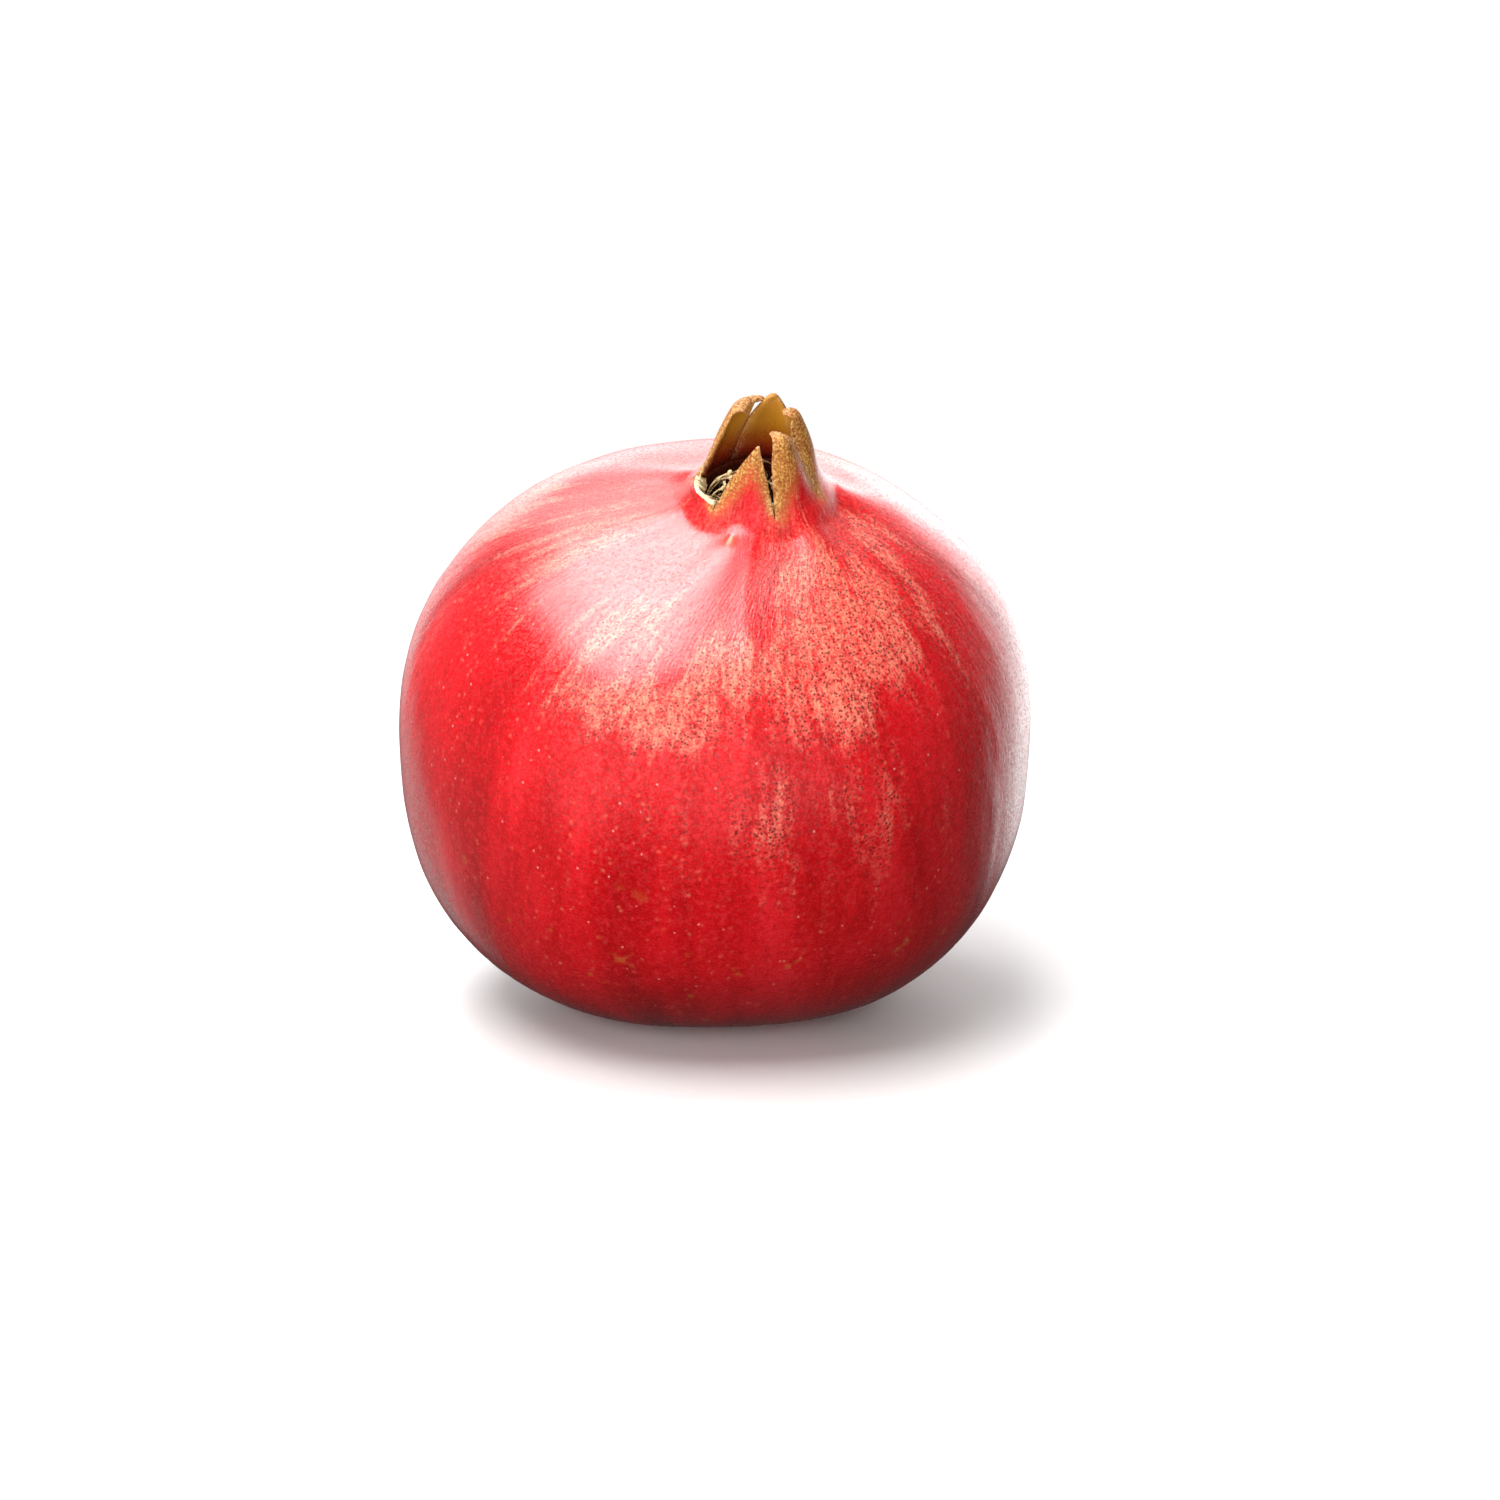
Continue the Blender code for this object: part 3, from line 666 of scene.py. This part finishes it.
# The rind's relief: shallow swellings all over, and wrinkles that run up to the crown
RELIEF = {"Swelling": 0.5 * MM, "Swelling Size": 17.0 * MM, "Wrinkle Depth": 0.2 * MM,
          "Wrinkle Width": 3.2 * MM, "Rest Height": 3.0 * MM}
tree, given = shape_tree("rind_relief", RELIEF)
grain = node(tree, "GeometryNodeInputNamedAttribute", {"Name": "grain"}, data_type="FLOAT_VECTOR")
stretched = node(tree, "ShaderNodeVectorMath", {0: grain, 1: (1.0, 1.0, 0.2)},
                 operation="MULTIPLY")
place = node(tree, "GeometryNodeInputPosition")
waves = []
for vector, size, depth in ((place, "Swelling Size", "Swelling"),
                            (stretched, "Wrinkle Width", "Wrinkle Depth")):
    scale = node(tree, "ShaderNodeMath", {0: 1.0, 1: given[size]}, operation="DIVIDE")
    wave = node(tree, "ShaderNodeTexNoise", {"Vector": vector, "Scale": scale, "Detail": 1.0})
    wave = node(tree, "ShaderNodeMath", {0: wave, 1: 0.5}, operation="SUBTRACT")
    waves.append(node(tree, "ShaderNodeMath", {0: wave, 1: given[depth]}, operation="MULTIPLY"))
# Wrinkles end below the neck, and nothing moves where the fruit rests
rise = node(tree, "GeometryNodeInputNamedAttribute", {"Name": "rise"}, data_type="FLOAT")
away = node(tree, "ShaderNodeMapRange", {
    "Value": rise, "From Min": -5.0 * MM, "From Max": -22.0 * MM},
    interpolation_type="SMOOTHSTEP")
wrinkles = node(tree, "ShaderNodeMath", {0: waves[1], 1: away}, operation="MULTIPLY")
offset = node(tree, "ShaderNodeMath", {0: waves[0], 1: wrinkles}, operation="ADD")
level = node(tree, "ShaderNodeSeparateXYZ", {"Vector": place}, output="Z")
above = node(tree, "ShaderNodeMapRange", {
    "Value": level, "From Min": 0.0, "From Max": given["Rest Height"]})
offset = node(tree, "ShaderNodeMath", {0: offset, 1: above}, operation="MULTIPLY")
outwards = node(tree, "GeometryNodeInputNormal")
push = node(tree, "ShaderNodeVectorMath", {0: outwards, "Scale": offset}, operation="SCALE")
moved = node(tree, "GeometryNodeSetPosition", {"Geometry": given["Geometry"], "Offset": push})
end_tree(tree, moved, given)

mesh = fruit_mesh()
lying = lying_place(mesh)
bmesh.ops.transform(mesh, matrix=lying, verts=mesh.verts)
press_seat(mesh)
data = bpy.data.meshes.new("rind")
mesh.to_mesh(data)
mesh.free()
fruit = shaped("rind_and_crown", data, tree, {**RELIEF, "Material": rind})
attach(fruit, "root")
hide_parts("fruit")

# ---------------------------------------------------------------------------------------------
# The stamens: what is left of the flower, dry threads that each carry a bead of an anther.
# They stand on the wall of the crown's cup and curl into it.
# ---------------------------------------------------------------------------------------------
STAMENS = {"Count": 150, "Foot Radius": 8.4 * MM, "Foot Spread": 5.0 * MM, "Length": 4.8 * MM,
           "Thickness": 0.22 * MM, "Anther Size": 0.85 * MM, "Seed": 7}
CUP_FOOT_LIFT = 1.6 * MM            # of the lowest threads over the cup's floor
GOLDEN_ANGLE = 2.39996              # from one thread to the next, which spreads them evenly
ANTHER_SHAPE = (0.8, 0.6, 1.25)
ANTHER_TURN = (0.0, -0.6, 0.0)
# Each kind of thread: its middle and end, as shares of its length, outwards and upwards
THREADS = (
    ((-0.2, 0.55), (-0.75, 0.75)), ((0.12, 0.6), (-0.35, 1.0)),
    ((-0.45, 0.45), (-0.95, 0.2)), ((-0.15, 0.7), (-0.9, 1.05)))

# Dried anther and filament: matt and straw-pale where light catches, brown between.
straw = blank_material("dried_filament")
tree = straw.node_tree
object_place = node(tree, "ShaderNodeTexCoord", output="Object")
tone = node(tree, "ShaderNodeTexNoise", {
    "Vector": object_place, "Scale": 1.0 / (1.2 * MM), "Detail": 3.0})
skin = node(tree, "ShaderNodeValToRGB", {"Fac": tone}, ramp=(
    (0.34, colour("#8A5E30")), (0.47, colour("#C29A62")), (0.62, colour("#E6D2A2"))))
fine = node(tree, "ShaderNodeTexNoise", {"Vector": object_place, "Scale": 1.0 / (0.2 * MM)})
bump = node(tree, "ShaderNodeBump", {"Height": fine, "Strength": 0.5, "Distance": 0.05 * MM})
shader = node(tree, "ShaderNodeBsdfPrincipled", {
    "Base Color": skin, "Roughness": 0.75, "Normal": bump, "Sheen Weight": 0.2})
node(tree, "ShaderNodeOutputMaterial", {"Surface": shader})

tree, given = shape_tree("stamen_tuft", STAMENS)
half = node(tree, "ShaderNodeMath", {0: given["Thickness"], 1: 0.5}, operation="MULTIPLY")
section = node(tree, "GeometryNodeCurvePrimitiveCircle", {"Resolution": 5, "Radius": half})
bead = node(tree, "GeometryNodeMeshIcoSphere", {"Radius": 0.5, "Subdivisions": 2}, output="Mesh")
kinds = tree.nodes.new("GeometryNodeJoinGeometry")
for thread_places in THREADS:
    middle, end = (
        node(tree, "ShaderNodeVectorMath", {0: (out, 0.0, up), "Scale": given["Length"]},
             operation="SCALE") for out, up in thread_places)
    line = node(tree, "GeometryNodeCurveQuadraticBezier", {
        "Resolution": 9, "Start": (0.0, 0.0, 0.0), "Middle": middle, "End": end})
    thread = node(tree, "GeometryNodeCurveToMesh", {
        "Curve": line, "Profile Curve": section, "Fill Caps": True})
    size = node(tree, "ShaderNodeVectorMath", {0: ANTHER_SHAPE, "Scale": given["Anther Size"]},
                operation="SCALE")
    anther = node(tree, "GeometryNodeTransform", {
        "Geometry": bead, "Translation": end, "Rotation": ANTHER_TURN, "Scale": size})
    stamen = tree.nodes.new("GeometryNodeJoinGeometry")
    tree.links.new(thread, stamen.inputs[0])
    tree.links.new(anther, stamen.inputs[0])
    one = node(tree, "GeometryNodeGeometryToInstance", {"Geometry": stamen.outputs[0]})
    tree.links.new(one, kinds.inputs[0])
count = node(tree, "GeometryNodePoints", {"Count": given["Count"]})
index = node(tree, "GeometryNodeInputIndex")
turn = node(tree, "ShaderNodeMath", {0: index, 1: GOLDEN_ANGLE}, operation="MULTIPLY")
sine = node(tree, "ShaderNodeMath", {0: turn}, operation="SINE")
cosine = node(tree, "ShaderNodeMath", {0: turn}, operation="COSINE")
reach = node(tree, "ShaderNodeCombineXYZ", {"X": cosine, "Y": sine})
reach = node(tree, "ShaderNodeVectorMath", {0: reach, "Scale": given["Foot Radius"]},
             operation="SCALE")
lift = node(tree, "FunctionNodeRandomValue", {
    "Max": given["Foot Spread"], "Seed": given["Seed"]}, data_type="FLOAT")
lift = node(tree, "ShaderNodeCombineXYZ", {"Z": lift})
spot = node(tree, "ShaderNodeVectorMath", {0: reach, 1: lift}, operation="ADD")
feet = node(tree, "GeometryNodeSetPosition", {"Geometry": count, "Position": spot})
lean = node(tree, "FunctionNodeRandomValue", {
    "Min": (-0.5, -0.35, -0.7), "Max": (0.5, 0.3, 0.7), "Seed": given["Seed"]},
    data_type="FLOAT_VECTOR")
facing = node(tree, "ShaderNodeCombineXYZ", {"Z": turn})
facing = node(tree, "ShaderNodeVectorMath", {0: facing, 1: lean}, operation="ADD")
scale = node(tree, "FunctionNodeRandomValue", {
    "Min": 0.75, "Max": 1.15, "Seed": given["Seed"]}, data_type="FLOAT")
which = node(tree, "FunctionNodeRandomValue", {
    "Min": 0, "Max": len(THREADS) - 1, "Seed": given["Seed"]}, data_type="INT")
tuft = node(tree, "GeometryNodeInstanceOnPoints", {
    "Points": feet, "Instance": kinds.outputs[0], "Pick Instance": True, "Instance Index": which,
    "Rotation": facing, "Scale": scale})
end_tree(tree, tuft, given)

stamens = shaped(
    "stamen_tuft", bpy.data.meshes.new("stamens"), tree, {**STAMENS, "Material": straw})
stamen_foot = crown_base() + Vector((0.0, 0.0, CUP_FOOT_LIFT - CUP_DEPTH))
stamens.data.transform(lying @ Matrix.Translation(stamen_foot))
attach(stamens, "root")
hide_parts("stamens")

# ---------------------------------------------------------------------------------------------
# The style: the dried column in the middle of the flower, with the knob of its stigma on top.
# It stands on the floor of the cup, a little bent.
# ---------------------------------------------------------------------------------------------
STYLE_LENGTH = 8.4 * MM
STYLE_WIDTH = 0.85 * MM             # what a radius of 1 in the profile stands for
STYLE_LIFT = 0.3 * MM               # of its foot over the cup's floor
STYLE_PROFILE = ((1.35, 0.0), (1.05, 0.08), (0.85, 0.3), (0.72, 0.55), (0.66, 0.7), (0.95, 0.78),
                 (1.3, 0.84), (1.42, 0.9), (1.2, 0.96), (0.6, 1.0))
STYLE_BEND = 0.7 * MM
STYLE_SEGMENTS = 30
STYLE_STEPS = 5                     # rows between two places of the profile


def turned_mesh(profile, segments, steps, ripple):
    """A closed solid turned round Z from places of radius and height, with a rippled surface."""
    mesh = bmesh.new()
    rows = []
    for (radius, height), (next_radius, next_height) in zip(profile, profile[1:]):
        for step in range(steps):
            share = step / steps
            rows.append((radius + (next_radius - radius) * share,
                         height + (next_height - height) * share))
    rows.append(profile[-1])
    azimuths = [2.0 * math.pi * k / segments for k in range(segments)]
    rings = []
    for radius, height in rows:
        points = [Vector((math.cos(a), math.sin(a), 0.0)) * radius * ripple(a, height)
                  + Vector((0.0, 0.0, height)) for a in azimuths]
        rings.append([mesh.verts.new(point) for point in points])
    for lower, upper in zip(rings, rings[1:]):
        join_rows(mesh, lower, upper)
    for ring, height in ((rings[0], profile[0][1]), (rings[-1], profile[-1][1])):
        pole = mesh.verts.new((0.0, 0.0, height))
        for index in range(segments):
            mesh.faces.new((pole, ring[index], ring[(index + 1) % segments]))
    bmesh.ops.recalc_face_normals(mesh, faces=mesh.faces)
    return mesh


def plain_piece(name, mesh, place, surface):
    """Puts a mesh in its place and makes it an object."""
    bmesh.ops.transform(mesh, matrix=place, verts=mesh.verts)
    data = bpy.data.meshes.new(name)
    mesh.to_mesh(data)
    mesh.free()
    data.shade_smooth()
    data.materials.append(surface)
    piece = bpy.data.objects.new(name, data)
    bpy.context.collection.objects.link(piece)
    return piece


# Dried plant tissue: brown and matt, with lengthwise fibres that show as fine streaks.
brown = blank_material("dried_style_tissue")
tree = brown.node_tree
object_place = node(tree, "ShaderNodeTexCoord", output="Object")
fibres = node(tree, "ShaderNodeMapping", {
    "Vector": object_place, "Rotation": (-LEAN, 0.0, 0.0), "Scale": (1.0, 1.0, 0.15)})
tone = node(tree, "ShaderNodeTexNoise", {
    "Vector": fibres, "Scale": 1.0 / (0.5 * MM), "Detail": 3.0})
skin = node(tree, "ShaderNodeValToRGB", {"Fac": tone}, ramp=(
    (0.35, colour("#5A3616")), (0.5, colour("#8A5C2C")), (0.66, colour("#B68A50"))))
bump = node(tree, "ShaderNodeBump", {"Height": tone, "Strength": 0.6, "Distance": 0.1 * MM})
shader = node(tree, "ShaderNodeBsdfPrincipled", {
    "Base Color": skin, "Roughness": 0.7, "Normal": bump})
node(tree, "ShaderNodeOutputMaterial", {"Surface": shader})

profile = [(radius * STYLE_WIDTH, height * STYLE_LENGTH) for radius, height in STYLE_PROFILE]
mesh = turned_mesh(profile, STYLE_SEGMENTS, STYLE_STEPS, lambda azimuth, height: (
    1.0 + 0.07 * math.cos(5.0 * azimuth + 200.0 * height)))
for vertex in mesh.verts:
    vertex.co.y -= STYLE_BEND * (vertex.co.z / STYLE_LENGTH) ** 2
style_foot = crown_base() + Vector((0.0, 0.0, STYLE_LIFT - CUP_DEPTH))
style = plain_piece("style", mesh, lying @ Matrix.Translation(style_foot), brown)
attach(style, "root")
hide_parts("style")

# ---------------------------------------------------------------------------------------------
# The stalk stub: the woody end of the twig, cut off close to the fruit, in the dimple behind
# the flat spot. Thin bark runs down it, and its cut face shows the pale wood.
# ---------------------------------------------------------------------------------------------
STALK_RADIUS = 3.0 * MM
STALK_LENGTH = 2.0 * MM
STALK_GAP = 0.3 * MM
STALK_SEGMENTS = 72
STALK_STEPS = 4
# Shares of its radius and length: over the cut face, round its edge and up the bark
STALK_PROFILE = ((0.3, -0.94), (0.55, -0.98), (0.78, -1.0), (0.88, -0.94), (0.92, -0.7),
                 (0.9, -0.3), (0.97, 0.0), (0.5, 0.0))

# Twig wood: grey-brown bark with lengthwise cracks, and a pale fibrous cut. Both are matt.
wood = blank_material("cut_twig_wood")
tree = wood.node_tree
object_place = node(tree, "ShaderNodeTexCoord", output="Object")
fibres = node(tree, "ShaderNodeMapping", {
    "Vector": object_place, "Rotation": (-LEAN, 0.0, 0.0), "Scale": (1.0, 1.0, 0.12)})
bark = node(tree, "ShaderNodeTexNoise", {
    "Vector": fibres, "Scale": 1.0 / (0.45 * MM), "Detail": 4.0})
grain = node(tree, "ShaderNodeTexVoronoi", {"Vector": fibres, "Scale": 1.0 / (0.3 * MM)})
skin = node(tree, "ShaderNodeValToRGB", {"Fac": bark}, ramp=(
    (0.35, colour("#3E2A1A")), (0.5, colour("#6B4C30")), (0.65, colour("#94724C"))))
cut_skin = node(tree, "ShaderNodeValToRGB", {"Fac": grain}, ramp=(
    (0.1, colour("#7A5A34")), (0.4, colour("#B4925E")), (0.7, colour("#CDB182"))))
cut = node(tree, "ShaderNodeAttribute", output="Fac", attribute_name="cut")
skin = node(tree, "ShaderNodeMix", {"Factor": cut, "A": skin, "B": cut_skin}, data_type="RGBA")
height = node(tree, "ShaderNodeMath", {0: bark, 1: grain}, operation="ADD")
bump = node(tree, "ShaderNodeBump", {"Height": height, "Strength": 0.8, "Distance": 0.15 * MM})
shader = node(tree, "ShaderNodeBsdfPrincipled", {
    "Base Color": skin, "Roughness": 0.85, "Normal": bump})
node(tree, "ShaderNodeOutputMaterial", {"Surface": shader})


def bark_ripple(azimuth, height):
    """Cracks that run down the bark, and shallow ribs."""
    cracks = noise.noise(Vector((
        4.0 * math.cos(azimuth), 4.0 * math.sin(azimuth), 150.0 * height)))
    return 0.985 + 0.03 * cracks + 0.02 * math.cos(9.0 * azimuth)


profile = [(radius * STALK_RADIUS, height * STALK_LENGTH) for radius, height in STALK_PROFILE]
mesh = turned_mesh(profile, STALK_SEGMENTS, STALK_STEPS, bark_ripple)
cut = mesh.verts.layers.float.new("cut")
for vertex in mesh.verts:
    across = vertex.co.xy.length / STALK_RADIUS
    vertex[cut] = 1.0 if vertex.co.z < -0.9 * STALK_LENGTH and across < 0.84 else 0.0
stalk_top = underside_point(0.0, 0.0) - Vector((0.0, 0.0, STALK_GAP))
stalk = plain_piece("stalk_stub_bark", mesh, lying @ Matrix.Translation(stalk_top), wood)
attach(stalk, "root")
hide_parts("stalk_stub")

# ---------------------------------------------------------------------------------------------
# The studio: a plain pale floor that fades into white, a big softbox high on the left, a smaller
# one overhead, two broad weak fills low on the left and in front, and daylight behind the fruit.
# ---------------------------------------------------------------------------------------------
FLOOR_RADIUS = 0.6
FLOOR_FADE = (0.14, 0.50)           # distances where it starts to fade and is gone
FLOOR_SEGMENTS = 96
LIGHT_DISTANCE = 0.85
WATTS = 4.0                         # per square metre of a light, for a brightness of 1
# A light: the way to it from the fruit, its two sizes in metres, its brightness, and the rays it
# is for. Only the softboxes show in the gloss, so the fills lift the red but leave it clear.
LIGHTS = {
    "key_softbox": ((-0.30, -0.13, 0.92), 0.58, 0.80, 7.6, "glossy"),
    "key_glow": ((-0.27, -0.30, 0.91), 0.58, 0.58, 7.2, "diffuse"),
    "overhead_softbox": ((-0.18, 0.40, 0.90), 0.45, 0.45, 5.0, "both"),
    "left_fill": ((-0.66, -0.74, 0.12), 0.90, 0.60, 3.1, "diffuse"),
    "front_fill": ((0.20, -1.0, 0.08), 0.90, 0.90, 2.3, "diffuse"),
}
# Daylight round about: the way to its middle, the cosines where it starts and is full, strength
DAYLIGHT = [
    ((0.50, 0.86, 0.02), 0.88, 0.97, 2.4),
    ((0.10, 0.86, 0.50), 0.80, 0.97, 2.0),
    ((-0.32, 0.94, 0.10), 0.93, 0.99, 1.2),
    ((-0.50, 0.80, -0.33), 0.95, 0.99, 0.5),
    ((-0.95, 0.10, 0.00), 0.50, 0.90, 0.12),
]
DAYLIGHT_ELSEWHERE = 0.08
DAYLIGHT_BELOW = 0.05
DAYLIGHT_DROP = (-0.55, -0.35)      # heights on a unit ball between which it falls off below
CAMERA_DISTANCE = 0.66
CAMERA_RISE = math.radians(15)
CAMERA_HEIGHT = 43.9 * MM           # of the place that it turns round
CAMERA_SLIDE = (5.5 * MM, -2.4 * MM)    # of its aim from there, to the right and up
LENS = 100.3
SENSOR = 36.0

# Matt studio paper: nearly white with a very faint cloudiness, so the eye gets only the fruit's
# soft shadow on it. It turns clear further out.
paper = blank_material("pale_matt_floor")
tree = paper.node_tree
object_place = node(tree, "ShaderNodeTexCoord", output="Object")
tone = node(tree, "ShaderNodeTexNoise", {"Vector": object_place, "Scale": 6.0, "Detail": 2.0})
skin = node(tree, "ShaderNodeValToRGB", {"Fac": tone}, ramp=(
    (0.3, colour("#E4E4E4")), (0.7, colour("#E8E8E7"))))
shader = node(tree, "ShaderNodeBsdfPrincipled", {"Base Color": skin, "Roughness": 0.55})
far = node(tree, "ShaderNodeVectorMath", {0: object_place}, output="Value", operation="LENGTH")
far = node(tree, "ShaderNodeMapRange", {
    "Value": far, "From Min": FLOOR_FADE[0], "From Max": FLOOR_FADE[1]},
    interpolation_type="SMOOTHSTEP")
clear = node(tree, "ShaderNodeBsdfTransparent")
surface = node(tree, "ShaderNodeMixShader", {0: far, 1: shader, 2: clear})
node(tree, "ShaderNodeOutputMaterial", {"Surface": surface})
mesh = bmesh.new()
bmesh.ops.create_circle(mesh, cap_ends=True, segments=FLOOR_SEGMENTS, radius=FLOOR_RADIUS)
floor = plain_piece("floor", mesh, Matrix.Translation((0.0, 0.0, cad_box[0][2])), paper)
floor.visible_glossy = False
floor.visible_diffuse = False

low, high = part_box("fruit")
middle = Vector(((low[0] + high[0]) / 2.0, (low[1] + high[1]) / 2.0, low[2] + CAMERA_HEIGHT))
for name, (way, width, length, brightness, lit) in LIGHTS.items():
    light = bpy.data.lights.new(name, "AREA")
    light.shape, light.size, light.size_y = "RECTANGLE", width, length
    light.energy = WATTS * width * length * brightness
    lamp = bpy.data.objects.new(name, light)
    bpy.context.collection.objects.link(lamp)
    way = Vector(way).normalized()
    side = Vector((0.0, 1.0, 0.0)).cross(way).normalized()
    lamp.matrix_world = Matrix.Translation(middle + way * LIGHT_DISTANCE) \
        @ Matrix((side, way.cross(side), way)).transposed().to_4x4()
    lamp.visible_camera = False
    lamp.visible_glossy = lit != "diffuse"
    lamp.visible_diffuse = lit != "glossy"

world = bpy.data.worlds.new("white_studio")
bpy.context.scene.world = world
world.use_nodes = True
tree = world.node_tree
tree.nodes.clear()
around = node(tree, "ShaderNodeTexCoord", output="Generated")
drop = node(tree, "ShaderNodeSeparateXYZ", {"Vector": around}, output="Z")
glow = node(tree, "ShaderNodeMapRange", {
    "Value": drop, "From Min": DAYLIGHT_DROP[0], "From Max": DAYLIGHT_DROP[1],
    "To Min": DAYLIGHT_BELOW, "To Max": DAYLIGHT_ELSEWHERE})
for way, start, full, strength in DAYLIGHT:
    near = node(tree, "ShaderNodeVectorMath", {0: around, 1: Vector(way).normalized()},
                output="Value", operation="DOT_PRODUCT")
    near = node(tree, "ShaderNodeMapRange", {
        "Value": near, "From Min": start, "From Max": full, "To Max": strength},
        interpolation_type="SMOOTHSTEP")
    glow = node(tree, "ShaderNodeMath", {0: near, 1: glow}, operation="ADD")
seen = node(tree, "ShaderNodeLightPath", output="Is Camera Ray")
glow = node(tree, "ShaderNodeMix", {"Factor": seen, "A": glow, "B": 1.0}, data_type="FLOAT")
sky = node(tree, "ShaderNodeBackground", {"Color": colour("#FFFFFF"), "Strength": glow})
node(tree, "ShaderNodeOutputWorld", {"Surface": sky})

right = Vector((1.0, 0.0, 0.0))
up = Vector((0.0, math.sin(CAMERA_RISE), math.cos(CAMERA_RISE)))
toward = Vector((0.0, -math.cos(CAMERA_RISE), math.sin(CAMERA_RISE)))
aim = middle + right * CAMERA_SLIDE[0] + up * CAMERA_SLIDE[1]
camera = bpy.data.cameras.new("camera")
camera.lens, camera.sensor_width = LENS, SENSOR
viewer = bpy.data.objects.new("camera", camera)
bpy.context.collection.objects.link(viewer)
viewer.matrix_world = Matrix.Translation(aim + toward * CAMERA_DISTANCE) \
    @ Matrix((right, up, toward)).transposed().to_4x4()
bpy.context.scene.camera = viewer
bpy.context.scene.view_settings.view_transform = "Standard"
